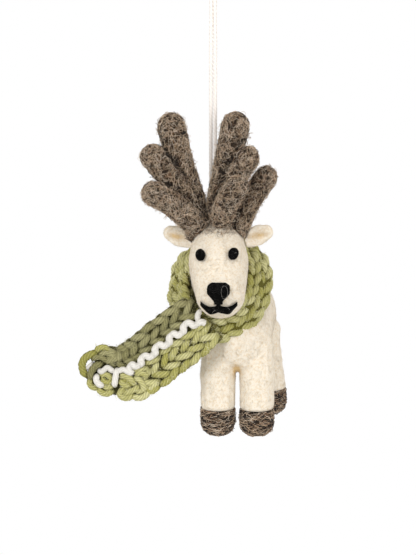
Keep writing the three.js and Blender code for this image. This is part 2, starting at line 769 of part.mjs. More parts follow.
addPiece(hanger, 'flex_knot', ball(flexPoint, flexRadius), stringCotton);
addPiece(hanger, 'tie_knot', ball(tiePoint, knotRadius), stringCotton);
const route = stringRoute.map(([x, y, z]) => vec(x, y, z).add(stringFoot));
addPiece(hanger, 'hanging_cord', yarn(route, stringDiameter, stringSteps), stringCotton);

// The origin is the inside of the eye at the top of the loop
const hangPoint = stringFoot.clone().add(vec(0, 0, routeTop - stringDiameter / 2));
ornament.position.copy(hangPoint).negate();

export default ornament;
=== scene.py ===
"""Felted reindeer ornament with a knitted scarf, hung on a looped string.

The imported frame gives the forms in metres, with the face along -Y. The origin is the inside of the
eye at the top of the string. Sizes below are in millimetres until they are placed.
"""

import math

import bpy
import numpy as np
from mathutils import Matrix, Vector, noise
from mathutils.bvhtree import BVHTree


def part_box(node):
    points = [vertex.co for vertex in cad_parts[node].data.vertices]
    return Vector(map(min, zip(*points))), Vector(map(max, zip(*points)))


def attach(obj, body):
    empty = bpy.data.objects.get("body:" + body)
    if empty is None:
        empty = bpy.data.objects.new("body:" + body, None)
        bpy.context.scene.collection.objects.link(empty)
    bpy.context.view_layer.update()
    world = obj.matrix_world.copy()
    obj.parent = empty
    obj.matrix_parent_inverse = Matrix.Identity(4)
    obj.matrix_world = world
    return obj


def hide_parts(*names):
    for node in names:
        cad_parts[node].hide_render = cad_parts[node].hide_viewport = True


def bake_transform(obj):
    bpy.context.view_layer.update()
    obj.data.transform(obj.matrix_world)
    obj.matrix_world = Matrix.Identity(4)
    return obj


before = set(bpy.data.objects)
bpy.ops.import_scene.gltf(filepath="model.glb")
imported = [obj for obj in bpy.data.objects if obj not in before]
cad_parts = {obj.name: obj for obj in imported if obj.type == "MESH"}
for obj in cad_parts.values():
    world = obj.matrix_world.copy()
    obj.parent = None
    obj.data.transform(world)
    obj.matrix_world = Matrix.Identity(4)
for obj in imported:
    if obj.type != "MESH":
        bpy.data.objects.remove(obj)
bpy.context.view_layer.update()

bl_info = {
    "name": "Felted reindeer ornament",
    "version": (1, 0, 0),
    "blender": (4, 5, 0),
    "location": "View3D > Sidebar > Ornament",
    "description": "Dresses the frame of a hanging reindeer in felt, knitting and string",
    "category": "Add Mesh",
}

MM = 0.001

# Places in the frame, in millimetres

FORWARD = (0, -1, 0)

# The scarf's collar: its centre, its two directions across and the one along the neck
COLLAR_CENTRE = (2.553, -1.134, -117.568)
COLLAR_OUT = (-0.080, -0.764, 0.641)
COLLAR_SIDE = (0.994, -0.105, -0.002)
COLLAR_RISE = (0.069, 0.637, 0.768)
COLLAR_RADIUS = 14.95  # of the middle of the light knit
COLLAR_DEPTH = 12.6
COLLAR_HEIGHT = -1.0
COLLAR_DROP = 7.2  # the front hangs this much lower
COLLAR_SLANT = math.pi / 3.4
COLLAR_SLANT_SHARE = 0.8
FOLD_STEP = 4.26  # the dark knit lies this far inside the light one
FOLD_DEPTH = 10.1
COLLAR_CLOTH = (0.44, 1.6)  # behind its knit: half its depth as a share, and its thickness
WHITE_RING = (8.83, 1.75)  # radius and height of the white row that shows below the chin
WHITE_ARC = (1.36 * math.pi, 1.74 * math.pi)
NOSE_MIDDLE = (3.81, -120.7)  # to the side, and up to where its lower half is widest
STRAY_HAIR = (6.1, -33.1, -119.9)
CROTCH = (9.4, -153.2)  # where the front legs part: to the side, and up
CROTCH_SHADE = (2.2, 1.2, 2.6)  # strength of the painted tan shade there, half its width and half its height
LEG_FOOT = -168.6  # the felt of the legs ends here, inside the hooves
LEG_REACH = (1.6, 1.8)  # over this last stretch they grow longer by this much
HIP = (12.0, -153.0)  # the right hip is flatter outside this, about this height
HIP_FLAT = 1.1  # by at most this much
EAR_JOINTS = {"left": (4.6, -4.0, 0.9), "right": (0, -0.5, 0)}  # how far their roots bulge out
ANTLER_TUCK = (-6.4, -103.4)  # the left antler lies behind the ear outside and below this
HAIRLINE = -101.4  # brown fibres cover the head above this
EAR_RISE = (0.42, 0.66)  # shares of an ear's height where its middle line starts and ends
EAR_HOLLOW = (2.4, 1.3)  # half the width of the hollow in an ear's front, and its depth
LIPS = (-3.0, 3.8)  # to the sides of the middle of the nose
LIP_SIZE = (1.7, 0.5)  # half the width, and how far they hang
NOSE_FULLNESS = 0.14
HOOF_BAND = 1.15  # between the bands of wound wool
TINES = {"left": ("beam", "mid", "low"), "right": ("beam", "mid", "outer", "front")}

# The felt: sizes of its lumps, and its hollows, where hair is thinner and darkened by painted shade
LUMP_SIZE = 2.6
GRAIN_SIZE = 0.9
HOLLOW_ROUNDS = 90  # of smoothing, to tell a hollow from the open surface
HOLLOW_DEPTHS = (0.02, 0.25)  # where a hollow starts, and how much further in it is full
HOLLOW_BARE = 0.7  # share of its hairs that a full one lacks
HOLLOW_SHADE = 0.85  # how much painted shade darkens the others there
FELT_SLOTS = {"cream": "cream_felt", "heather": "brown_felt", "black": "black_felt"}

# Felt forms: how far their gaps close, size of their faces, rounds of smoothing, depth of their
# lumps, and how far they are drawn in
FELTS = {
    "body": {"smoothing": 8, "roughen": 0.035, "inset": -0.15},
    "head": {"close": 0.2, "smoothing": 8, "roughen": 0.05},
    "ear": {"close": 0.2, "voxel": 0.32, "smoothing": 6, "roughen": 0.05},
    "antler": {"close": 0.2, "voxel": 0.42, "smoothing": 4, "roughen": 0.14, "inset": 0.12},
    "hoof": {"close": 0.2, "voxel": 0.42, "smoothing": 5, "roughen": 0.12, "inset": 0.1},
    "face": {"close": 0.25, "voxel": 0.2, "smoothing": 4, "roughen": 0.04, "inset": -0.05},
}
LEG_CLOSING = ((-155.5, -146.0), (0.12, 2.3))  # two heights, and how far gaps close there

# Loose fibres: how many, their length and radius, how far they stand off and how much they curl
FIBRES = {
    "body": (7000, 2.4, 0.035, 0.2, 0.6),
    "head": (3600, 2.2, 0.03, 0.16, 0.6),
    "fringe": (1500, 1.8, 0.04, 0.12, 0.7),
    "ear": (420, 2.0, 0.03, 0.16, 0.6),
    "antler": (4300, 4.0, 0.075, 0.3, 1.0),
    "fleece": (2000, 4.2, 0.075, 0.6, 1.1),
    "hoof": (900, 4.4, 0.105, 0.26, 0.34),
    "eye": (60, 1.8, 0.03, 0.1, 0.8),
    "muzzle": (380, 1.8, 0.03, 0.1, 0.8),
    "wrap": (2400, 3.0, 0.035, 0.6, 0.8),
    "tail": (1700, 3.0, 0.035, 0.6, 0.8),
}
HAIR_LENGTHS = (0.55, 1.25)  # least and most, as shares of the length
HAIR_RISES = (1.2, 0.6)  # shape and scale of how far they stand off
HAIR_ENDS = (0.6, 0.4)  # radius at the root and the tip, as shares
HAIR_TONES = (0.8, 1.2)

# Yarns
YARN_SLOTS = {"light": "green_yarn", "dark": "olive_yarn", "white": "white_yarn"}
WHITE_PLIES = {"plies": 6, "turn": 8.0, "groove": 0.12}
WHITE_RADII = {"wrap": 1.05, "tail": 1.3}
PLY_DEPTHS = (1.0, 0.2, 0.2)  # of a ply's three columns of points, as shares of the groove
LAID_END = 0.75  # radius of a laid yarn at its ends, as a share of its middle

# How unevenly stitches are worked: place along the row, length over the course, place across,
# height, and mean and spread of their slant
UNEVEN = {"along": 0.4, "reach": 0.1, "across": 0.25, "rise": 0.24}
UNEVEN_SLANT = (0.85, 0.28)

# The loose tail of the scarf: the middle of the strip from the chin to the far end, in shares of
# its reach, and its width at the same places
TAIL_ROOT = (-2.886, -17.755, -132.342)
TAIL_REACH = 45.5
TAIL_SHARES = (
    (0, 0, 0),
    (-0.16, -0.012, -0.125),
    (-0.345, -0.015, -0.27),
    (-0.51, 0.005, -0.395),
    (-0.67, 0.03, -0.45),
    (-0.835, 0.045, -0.41),
    (-0.93, 0.04, -0.365),
)
TAIL_WIDTHS = (20.8, 22.4, 22.2, 21.7, 19.9, 16.1, 12.5)
TAIL_THICKNESS = 4.2
TAIL_BEND = 30.4  # along the strip to where it bends
TAIL_CLOTH = (0.43, 1.8)  # behind its knit: half its width as a share, and its thickness
TAIL_CLOTH_END = 2  # it ends this far before the tip

# Its bands: shares of its width, how many rows, and where these start, end on the face, and end
# on the back
TAIL_BANDS = {"dark": (0.0, 0.39, 3, 0.6, 44.5, 46.5), "light": (0.47, 1.0, 4, 0.0, 32.0, 45.5)}

# The white yarn of the tail, as (along, across) from the chin and the middle of the strip: one
# turn of its wave, where the turns start, and how it begins and ends
WAVE_TURN = (
    *((0, -2.5), (1.6, -2.6), (2.7, -2.1), (2.7, -1.5)),
    *((3.2, -1.0), (4.5, -0.9), (5.8, -1.2), (6.1, -1.9)),
)
WAVE_STARTS = (4.7, 11.2, 17.7, 24.3)
WAVE_HEAD = ((-0.1, 1.2), (0.7, 0.1), (2.4, -0.1), (3.8, -0.5), (4.1, -1.8))
WAVE_END = ((30.8, -2.3), (32.3, -1.8), (32.9, -0.6), (32.5, 0.8))
WAVE_TUCK = ((-1.4, -3.2), (0.0, -2.6), (1.4, -1.2))  # a short length before it, at the chin
WAVE_PITCH = 6.55

# Loose yarns at the far end, where the knit was bound off: colour, radius, height over the face,
# and places as above
END_LOOP = ((48.6, -4.7), (50.5, -3.1), (51.8, -1.1), (52.0, 1.1), (51.3, 2.8), (49.8, 4.3), (47.8, 5.0))
END_YARNS = (
    ("green", 1.55, -0.5, END_LOOP),
    ("olive", 1.25, -0.9, ((49.4, -4.4), (48.9, -6.7), (46.8, -7.7), (43.5, -7.0))),
    ("dark", 1.1, 0.1, ((49.3, -1.5), (48.5, -3.2), (46.0, -3.9), (43.1, -3.4))),
    ("dark", 1.15, -0.2, ((48.1, -4.5), (45.1, -6.0), (42.8, -6.1), (40.0, -5.6))),
    ("dark", 1.15, 0.0, ((43.6, -2.8), (41.6, -4.3), (38.5, -5.8))),
    ("dark", 1.3, 0.6, ((45.0, -1.8), (47.0, -0.6), (47.6, 1.6), (47.4, 3.6), (46.4, 5.2))),
    ("light", 1.2, 0.3, ((43.9, 2.5), (42.4, 1.5), (40.9, 1.6), (39.8, 2.4))),
    ("light", 1.2, 0.2, ((43.1, 3.4), (41.8, 4.3), (40.5, 3.9), (39.6, 2.8))),
    ("light", 1.25, 0.0, ((41.5, 5.9), (40.4, 6.0), (39.5, 5.0))),
    ("light", 1.25, -0.3, ((46.6, 5.3), (46.5, 6.8), (45.6, 7.7), (43.6, 7.6))),
    ("light", 1.3, -0.3, ((43.3, 7.5), (41.8, 8.5), (40.3, 8.4), (39.0, 7.0))),
    ("light", 1.35, 0.1, ((35.9, 5.9), (37.0, 6.5), (37.3, 8.0), (36.6, 9.1), (35.5, 9.2), (34.4, 8.3))),
    ("light", 1.2, 0.5, ((36.6, 7.8), (35.4, 7.2), (33.8, 6.8), (32.1, 6.1))),
    ("light", 1.3, 0.1, ((34.8, 9.3), (33.3, 10.3), (31.8, 10.4), (30.4, 9.4))),
    ("light", 1.25, -0.2, ((31.0, 8.6), (29.6, 9.9), (27.6, 9.8))),
    ("light", 1.3, 0.5, ((37.0, 0.5), (34.9, 1.3), (33.6, 2.9), (33.1, 5.3))),
    ("light", 1.35, 0.1, ((37.1, 2.7), (36.1, 4.3), (34.8, 5.2))),
    ("light", 1.1, -0.2, ((36.8, 1.8), (35.0, 3.1), (34.0, 5.0))),
    ("light", 1.25, 0.6, ((32.5, 2.7), (31.1, 4.0), (30.8, 6.2), (31.3, 8.9))),
    ("light", 1.2, 0.1, ((33.6, 7.9), (32.1, 8.0), (30.1, 7.6))),
    ("light", 1.2, 0.2, ((31.5, 1.6), (29.5, 2.2), (28.3, 4.1))),
    ("white", 1.15, 0.8, ((38.1, -0.7), (36.8, -1.3), (35.1, -1.5), (33.8, -0.5), (32.5, 1.1))),
    ("white", 1.1, 0.8, ((45.6, 0.8), (44.1, 1.0), (43.3, 0.0), (42.3, -1.3), (40.8, -0.9), (39.1, -0.5))),
    ("white", 0.8, -0.4, ((48.6, -0.3), (49.1, 1.0), (49.6, 2.7))),
    ("white", 0.3, -1.9, ((39.8, 7.3), (38.5, 8.8))),
)
STITCHES = {
    "inner": (1.2, ((38.3, -1.5), (38.4, 0.2), (38.5, 2.7), (38.6, 4.8))),
    "outer": (1.25, ((45.3, 3.0), (44.9, 4.5), (43.5, 5.5), (42.0, 5.8))),
}

# The string's loop, counted from the top of the knot that ties it
STRING_FOOT = (0.0, 0.0, -95.775)
STRING_ROUTE = (
    (-0.8, 0, 0),
    (-0.8, 0, 21),
    (-0.8, 0, 42),
    (-0.8, 0, 63),
    (-0.8, 0, 81),
    (-2.6, 0, 86.5),
    (-4.2, 0, 91),
    (-3.1, 0, 94.9),
    (0, 0, 96.5),
    (3.1, 0, 94.9),
    (4.2, 0, 91),
    (2.6, 0, 86.5),
    (0.8, 0, 81),
    (0.8, 0, 63),
    (0.8, 0, 42),
    (0.8, 0, 21),
    (0.8, 0, 0),
)

# Its knots: place and size, the CAD form that each dresses, and the body that it rides on
KNOTS = {
    "string_tie_knot": ((0.0, 0.0, -97.975), 0.68, "tie_knot", "tie"),
    "string_root_knot": ((0.0, 0.0, -101.375), 0.43, "flex_knot", "flex"),
}

# The photograph is taken from in front and a little above
CAMERA_TARGET = (-1.39, -8.24, -118.01)
SENSOR = 36.0
LENS = 156.7

# The lamps, in metres and watts: place about the target, size and power
LIGHTS = {
    "key": ((-0.45, -0.75, 0.45), 0.5, 4.2),
    "fill": ((0.7, -0.7, 0.15), 0.6, 3.2),
    "back": ((0.2, 0.8, 0.6), 0.6, 1.6),
}
FLOOR = (-0.3, 2.2, 3.0, 4.0)  # in metres: height, depth, height of the backdrop, half the width
FLOOR_FRONT = -3.0


# Shader maths


class Value:
    """A number from a shader socket: an expression on values adds its Math nodes."""

    def __init__(self, tree, socket):
        self.tree = tree
        self.socket = socket

    def joined(self, operation, other, clamp=False):
        node = self.tree.nodes.new("ShaderNodeMath")
        node.operation = operation
        node.use_clamp = clamp
        for slot, term in zip(node.inputs, (self, other)):
            if isinstance(term, Value):
                self.tree.links.new(term.socket, slot)
            else:
                slot.default_value = term
        return Value(self.tree, node.outputs[0])

    def __add__(self, other):
        return self.joined("ADD", other)

    def __sub__(self, other):
        return self.joined("SUBTRACT", other)

    def __mul__(self, other):
        return self.joined("MULTIPLY", other)

    def over(self, low, high):
        """0 at low, 1 at high and even between, also where high is the smaller of the two."""
        return (self - low).joined("MULTIPLY", 1.0 / (high - low), clamp=True)


def blank_material(name):
    """A material without a shader, its nodes, and the socket that its surface goes into."""
    material = bpy.data.materials.new(name)
    material.use_nodes = True
    tree = material.node_tree
    tree.nodes.clear()
    return material, tree, tree.nodes.new("ShaderNodeOutputMaterial").inputs["Surface"]


def white_where(tree, seen, other, white, surface):
    """The white shader where seen is 1, and the other one elsewhere."""
    mix = tree.nodes.new("ShaderNodeMixShader")
    for socket, slot in zip((seen, other.outputs[0], white.outputs[0]), mix.inputs):
        tree.links.new(socket, slot)
    tree.links.new(mix.outputs[0], surface)


class Finish:
    """A material with one Principled shader, and the nodes that feed it."""

    def __init__(self, name, roughness, sheen=0.0, sheen_tint=(1, 1, 1), specular=0.25):
        self.material, self.tree, surface = blank_material(name)
        self.shader = self.node(
            "ShaderNodeBsdfPrincipled",
            Roughness=roughness,
            Specular_IOR_Level=specular,
            Sheen_Weight=sheen,
            Sheen_Roughness=0.5,
            Sheen_Tint=(*sheen_tint, 1),
        )
        self.tree.links.new(self.shader.outputs[0], surface)

    def node(self, kind, settings=None, **inputs):
        """A node with its settings made first, and then its sockets."""
        node = self.tree.nodes.new(kind)
        for name, value in (settings or {}).items():
            setattr(node, name, value)
        for name, value in inputs.items():
            self.feed(node.inputs[name.replace("_", " ")], value)
        return node

    def feed(self, slot, value):
        if isinstance(value, Value):
            self.tree.links.new(value.socket, slot)
        elif isinstance(value, bpy.types.NodeSocket):
            self.tree.links.new(value, slot)
        else:
            slot.default_value = value

    def noise(self, scale, detail=2.0, roughness=0.5, distortion=0.0, vector=None):
        """Noise of a size given in millimetres, on the piece's own coordinates."""
        node = self.node(
            "ShaderNodeTexNoise",
            Scale=1 / (scale * MM),
            Detail=detail,
            Roughness=roughness,
            Distortion=distortion,
            Vector=vector or self.place(),
        )
        return Value(self.tree, node.outputs["Fac"])

    def place(self):
        return self.node("ShaderNodeTexCoord").outputs["Object"]

    def stretched(self, stretch):
        """The piece's coordinates, each axis finer by its factor."""
        return self.node("ShaderNodeMapping", Vector=self.place(), Scale=stretch).outputs[0]

    def attribute(self, name):
        return self.node("ShaderNodeAttribute", {"attribute_name": name})

    def factor(self, name):
        """A number that each point of the mesh carries."""
        return Value(self.tree, self.attribute(name).outputs["Fac"])

    def ramp(self, value, stops):
        node = self.node("ShaderNodeValToRGB", Fac=value)
        elements = node.color_ramp.elements
        while len(elements) < len(stops):
            elements.new(1.0)
        for element, (place, colour) in zip(elements, stops):
            element.position = place
            element.color = (*colour, 1)
        return node.outputs["Color"]

    def mix(self, factor, first, second):
        node = self.node("ShaderNodeMix", {"data_type": "RGBA"}, Factor=factor)
        for name, colour in (("A", first), ("B", second)):
            self.feed(node.inputs[name], (*colour, 1) if isinstance(colour, tuple) else colour)
        return node.outputs["Result"]

    def colour(self, colour):
        self.feed(self.shader.inputs["Base Color"], colour)

    def bump(self, height, depth, strength):
        """Relief of a real depth in millimetres."""
        node = self.node("ShaderNodeBump", Height=height, Distance=depth * MM, Strength=strength)
        self.tree.links.new(node.outputs[0], self.shader.inputs["Normal"])


def rgb(colour):
    """The three numbers of a colour setting."""
    return tuple(colour[:3])


def mixed(first, second, share):
    return tuple(a + (b - a) * share for a, b in zip(first, second))


# Materials


def cream_felt(settings):
    """Pale wool felt: soft mottling, tan flecks, painted tan shade in the dips of its matted relief, and
    painted tan shade in folds.
    """
    base, tan = rgb(settings.cream), rgb(settings.tan)
    finish = Finish("cream_wool", roughness=0.95, sheen=0.2, sheen_tint=(1.0, 0.98, 0.94))
    fold = finish.factor("fold")
    patches = finish.noise(5.0, detail=3)
    flecks = finish.noise(0.75, detail=3, roughness=0.65, distortion=0.6)
    matting = finish.noise(0.5, detail=3, roughness=0.6, distortion=0.3)
    colour = finish.mix(patches.over(0.4, 0.7) * 0.2, base, mixed(base, tan, 0.14))
    # painted shade: tan where the matting relief is low, in its dips
    colour = finish.mix(matting.over(0.56, 0.36) * 0.15, colour, mixed(base, tan, 0.4))
    colour = finish.mix(flecks.over(0.49, 0.62) * 0.6, colour, mixed(base, tan, 0.7))
    # painted tan shade in the folds of the ears and where the front legs part
    colour = finish.mix((fold * (flecks + 0.5)).over(0.05, 1.0) * 0.9, colour, tan)
    finish.colour(colour)
    finish.bump(matting, depth=0.15, strength=0.3)
    return finish.material


def heather_shades(settings):
    """Darkest, middle and pale shade of the antlers; the darkest is both the colour of their dark fibres
    and their painted shade.
    """
    return rgb(settings.heather_dark), rgb(settings.heather), rgb(settings.heather_light)


def heather_felt(settings, name, stretch=(1, 1, 1)):
    """Brown-grey wool with light and rusty fibres, painted shade where its relief is low and in its
    hollows; a stretch draws the fibres out one way.
    """
    dark, mid, light = heather_shades(settings)
    finish = Finish(name, roughness=0.95, sheen=0.05, sheen_tint=(1.0, 0.9, 0.8))
    place = finish.stretched(stretch)
    shade = finish.noise(4.0, detail=3, vector=place)
    hollow = finish.factor("hollow")
    curls = finish.noise(0.75, detail=4, roughness=0.6, distortion=2.2, vector=place)
    strands = finish.noise(0.35, detail=4, roughness=0.7, distortion=3.0, vector=place)
    rust = finish.noise(2.6, detail=4, roughness=0.7, distortion=1.0, vector=place)
    stops = ((0.42, dark), (0.58, mixed(dark, mid, 0.5)), (0.7, mid), (0.88, light))
    colour = finish.ramp(curls, stops)
    colour = finish.mix(strands.over(0.54, 0.7) * 0.35, colour, light)
    # painted shade: dark where the strands are low in the relief, between the fibres
    colour = finish.mix(strands.over(0.5, 0.38) * 0.75, colour, dark)
    colour = finish.mix(rust.over(0.58, 0.7) * 0.4, colour, rgb(settings.rust))
    colour = finish.mix(shade.over(0.62, 0.4) * 0.45, colour, dark)
    # painted shade in the hollows, between the tines and round the hooves
    colour = finish.mix(hollow * 0.9, colour, dark)
    finish.colour(colour)
    finish.bump(strands + curls, depth=0.6, strength=0.9)
    return finish.material


def black_felt(settings):
    finish = Finish("black_wool", roughness=0.95, specular=0.03)
    black = rgb(settings.black)
    matting = finish.noise(0.4, detail=5, roughness=0.7, distortion=2.0)
    # painted highlight: a touch lighter where the matting relief is raised
    colour = finish.mix(matting.over(0.55, 0.8) * 0.6, black, mixed(black, (0.2, 0.2, 0.2), 0.03))
    finish.colour(colour)
    finish.bump(matting, depth=0.35, strength=0.7)
    return finish.material


def yarn(name, base, shadow, glow):
    """Plied wool: painted shade between the plies and where its shade attribute is high, painted highlight
    on its fibres, and each stitch of a slightly different tone.
    """
    finish = Finish(name, roughness=0.9, sheen=0.05, sheen_tint=mixed(glow, (1, 1, 1), 0.3))
    groove, shade, tone = (finish.factor(kept) for kept in ("groove", "shade", "tone"))
    hairs = finish.noise(0.34, detail=4, roughness=0.7, distortion=1.4)
    blotches = finish.noise(1.6, detail=3)
    colour = finish.mix(tone, mixed(base, shadow, 0.28), mixed(base, glow, 0.5))
    colour = finish.mix(blotches.over(0.35, 0.7) * 0.35, colour, mixed(base, shadow, 0.35))
    # painted highlight on the fibres, in the lit copy of the yarn
    colour = finish.mix(hairs.over(0.5, 0.72) * 0.5, colour, glow)
    # painted shade in the grooves between the plies
    colour = finish.mix(groove.over(0.15, 1.0) * 0.42, colour, shadow)
    # painted shade under the strands, where stitches dive, and on the cloth
    colour = finish.mix(shade * 0.85, colour, shadow)
    finish.colour(colour)
    finish.bump(hairs, depth=0.2, strength=0.8)
    return finish.material


def loose_fibre(name):
    """Single hairs, each of its own tint. The material is made once."""
    if name in bpy.data.materials:
        return bpy.data.materials[name]
    finish = Finish(name, roughness=0.7, sheen=0.1)
    finish.colour(finish.attribute("tint").outputs["Color"])
    return finish.material


def plain_backdrop():
    """White to the camera, and a pale surface to everything else."""
    material, tree, surface = blank_material("plain_backdrop")
    path = tree.nodes.new("ShaderNodeLightPath").outputs
    seen = Value(tree, path["Is Camera Ray"])
    for name in ("Is Glossy Ray", "Is Transmission Ray"):
        seen = seen.joined("MAXIMUM", Value(tree, path[name]))
    pale = tree.nodes.new("ShaderNodeBsdfDiffuse")
    pale.inputs["Color"].default_value = (0.8, 0.8, 0.8, 1)
    white = tree.nodes.new("ShaderNodeEmission")
    white.inputs["Strength"].default_value = 1.0
    white_where(tree, seen.socket, pale, white, surface)
    return material


def dress(piece, material):
    piece.data.materials.clear()
    piece.data.materials.append(material)


def fasten(piece, slot, *nodes, body="reindeer"):
    """Makes a piece ride on its body, in place of the CAD forms named, which it hides; the slot is not
    used.
    """
    if nodes:
        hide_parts(*nodes)
    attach(piece, body)
    return piece


# Mesh tools


def only(*objects):
    """Leaves just these selected, the first of them active."""
    bpy.ops.object.select_all(action="DESELECT")
    for o in objects:
        o.select_set(True)
    bpy.context.view_layer.objects.active = objects[0]


def apply_modifiers(piece):
    only(piece)
    for modifier in list(piece.modifiers):
        bpy.ops.object.modifier_apply(modifier=modifier.name)


def edit_all(piece, operation, **settings):
    """Runs one of Blender's mesh operations on the whole of a piece."""
    only(piece)
    bpy.ops.object.mode_set(mode="EDIT")
    bpy.ops.mesh.select_all(action="SELECT")
    getattr(bpy.ops.mesh, operation)(**settings)
    bpy.ops.object.mode_set(mode="OBJECT")


def soften(piece, rounds):
    soft = piece.modifiers.new("soft", "SMOOTH")
    soft.factor = 0.5
    soft.iterations = rounds
    apply_modifiers(piece)


def mesh_piece(name, vertices, faces):
    """A new piece from arrays in millimetres."""
    mesh = bpy.data.meshes.new(name)
    mesh.from_pydata((np.asarray(vertices) * MM).tolist(), [], faces)
    mesh.validate()
    mesh.update()
    piece = bpy.data.objects.new(name, mesh)
    bpy.context.scene.collection.objects.link(piece)
    mesh.polygons.foreach_set("use_smooth", [True] * len(mesh.polygons))
    return piece


def set_attribute(piece, name, values, kind="FLOAT"):
    attribute = piece.data.attributes.new(name, kind, "POINT")
    field = "color" if kind == "FLOAT_COLOR" else "value"
    attribute.data.foreach_set(field, np.asarray(values, np.float32).ravel())


def read_points(mesh):
    """Places in millimetres and normals of a mesh's vertices."""
    count = len(mesh.vertices)
    places, normals = np.empty(count * 3), np.empty(count * 3)
    mesh.vertices.foreach_get("co", places)
    mesh.vertices.foreach_get("normal", normals)
    return places.reshape(-1, 3) / MM, normals.reshape(-1, 3)


def write_points(mesh, places):
    mesh.vertices.foreach_set("co", (places * MM).ravel())
    mesh.update()


def swell(mesh, amount):
    """Moves the skin out by an amount in millimetres, or by amount(places)."""
    places, normals = read_points(mesh)
    far = amount(places)[:, None] if callable(amount) else amount
    write_points(mesh, places + normals * far)


def felt_form(name, nodes, close, voxel, smoothing, roughen, inset=0.0):
    """One soft felt piece from copies of CAD forms. They are swollen until their gaps and creases
    close, made one skin, drawn in again and smoothed. Lengths in millimetres."""
    copies = []
    for node in nodes:
        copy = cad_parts[node].copy()
        copy.data = copy.data.copy()
        for key in list(copy.keys()):
            del copy[key]
        copy.parent = None
        copy.hide_render = copy.hide_viewport = False
        bpy.context.scene.collection.objects.link(copy)
        copies.append(copy)
    only(*copies)
    bpy.ops.object.join()
    piece = copies[0]
    piece.name = piece.data.name = name
    edit_all(piece, "remove_doubles", threshold=0.01 * MM)
    swell(piece.data, close)
    skin = piece.modifiers.new("skin", "REMESH")
    skin.mode = "VOXEL"
    skin.voxel_size = voxel * MM
    skin.use_smooth_shade = True
    soften(piece, smoothing)
    draw_in = (lambda p: -close(p) - inset) if callable(close) else -close - inset
    swell(piece.data, draw_in)
    soften(piece, max(2, smoothing // 2))
    roughen_surface(piece, roughen)
    return piece


def wander(places, size):
    """A value that changes smoothly from place to place, over about the given size."""
    return np.array([noise.noise(Vector(p / size)) for p in places])


def roughen_surface(piece, depth):
    """Shallow lumps, as in felt that was needled by hand."""
    places, normals = read_points(piece.data)
    lumps = wander(places, LUMP_SIZE) + 0.6 * wander(places, GRAIN_SIZE)
    write_points(piece.data, places + normals * (lumps * depth)[:, None])


def find_hollows(piece):
    """0 on open surface and 1 in deep creases, kept as an attribute."""
    mesh = piece.data
    places, normals = read_points(mesh)
    edges = np.empty(len(mesh.edges) * 2, np.int64)
    mesh.edges.foreach_get("vertices", edges)
    first, second = edges.reshape(-1, 2).T
    share = 0.5 / np.maximum(np.bincount(edges, minlength=len(places)), 1)[:, None]
    smooth = places.copy()
    for _ in range(HOLLOW_ROUNDS):
        total = np.zeros_like(smooth)
        for axis in range(3):
            total[:, axis] = np.bincount(first, smooth[second, axis], len(places))
            total[:, axis] += np.bincount(second, smooth[first, axis], len(places))
        smooth = smooth / 2 + total * share
    least, depth = HOLLOW_DEPTHS
    hollow = np.clip((((smooth - places) * normals).sum(1) - least) / depth, 0, 1)
    set_attribute(piece, "hollow", hollow)
    return hollow


def tube(rings, sides, slip=None):
    """Faces of a tube whose points are numbered ring by ring. Its ends are closed by a face each,
    or, with a slip, joined to one another so many points on."""
    faces = []
    for i in range(rings if slip is not None else rings - 1):
        j = (i + 1) % rings
        turned = slip if j == 0 else 0
        for k in range(sides):
            m = (k + 1) % sides
            here, there = (k + turned) % sides, (m + turned) % sides
            faces.append((i * sides + m, i * sides + k, j * sides + here, j * sides + there))
    if slip is None:
        faces.append(tuple(range(sides)))
        faces.append(tuple(reversed(range((rings - 1) * sides, rings * sides))))
    return faces


def walked_along(line):
    """How far along a line each of its points is."""
    steps = np.linalg.norm(np.diff(line, axis=0), axis=1)
    return np.concatenate([[0], np.cumsum(steps)])


def unit(vectors):
    return vectors / np.maximum(np.linalg.norm(vectors, axis=-1, keepdims=True), 1e-9)


def smooth_line(points, count):
    """A smooth line of evenly spaced points through the given ones."""
    p = np.asarray(points, float)
    p = np.vstack([2 * p[0] - p[1], p, 2 * p[-1] - p[-2]])
    line = []
    for a, b, c, d in zip(p, p[1:], p[2:], p[3:]):
        for t in np.linspace(0, 1, 24, endpoint=False):
            pull = (2 * b) + (c - a) * t
            pull += (2 * a - 5 * b + 4 * c - d) * t**2 + (3 * b - a - 3 * c + d) * t**3
            line.append(pull / 2)
    line = np.array([*line, p[-2]])
    walked = walked_along(line)
    even = np.linspace(0, walked[-1], count)
    return np.column_stack([np.interp(even, walked, line[:, k]) for k in range(line.shape[1])])


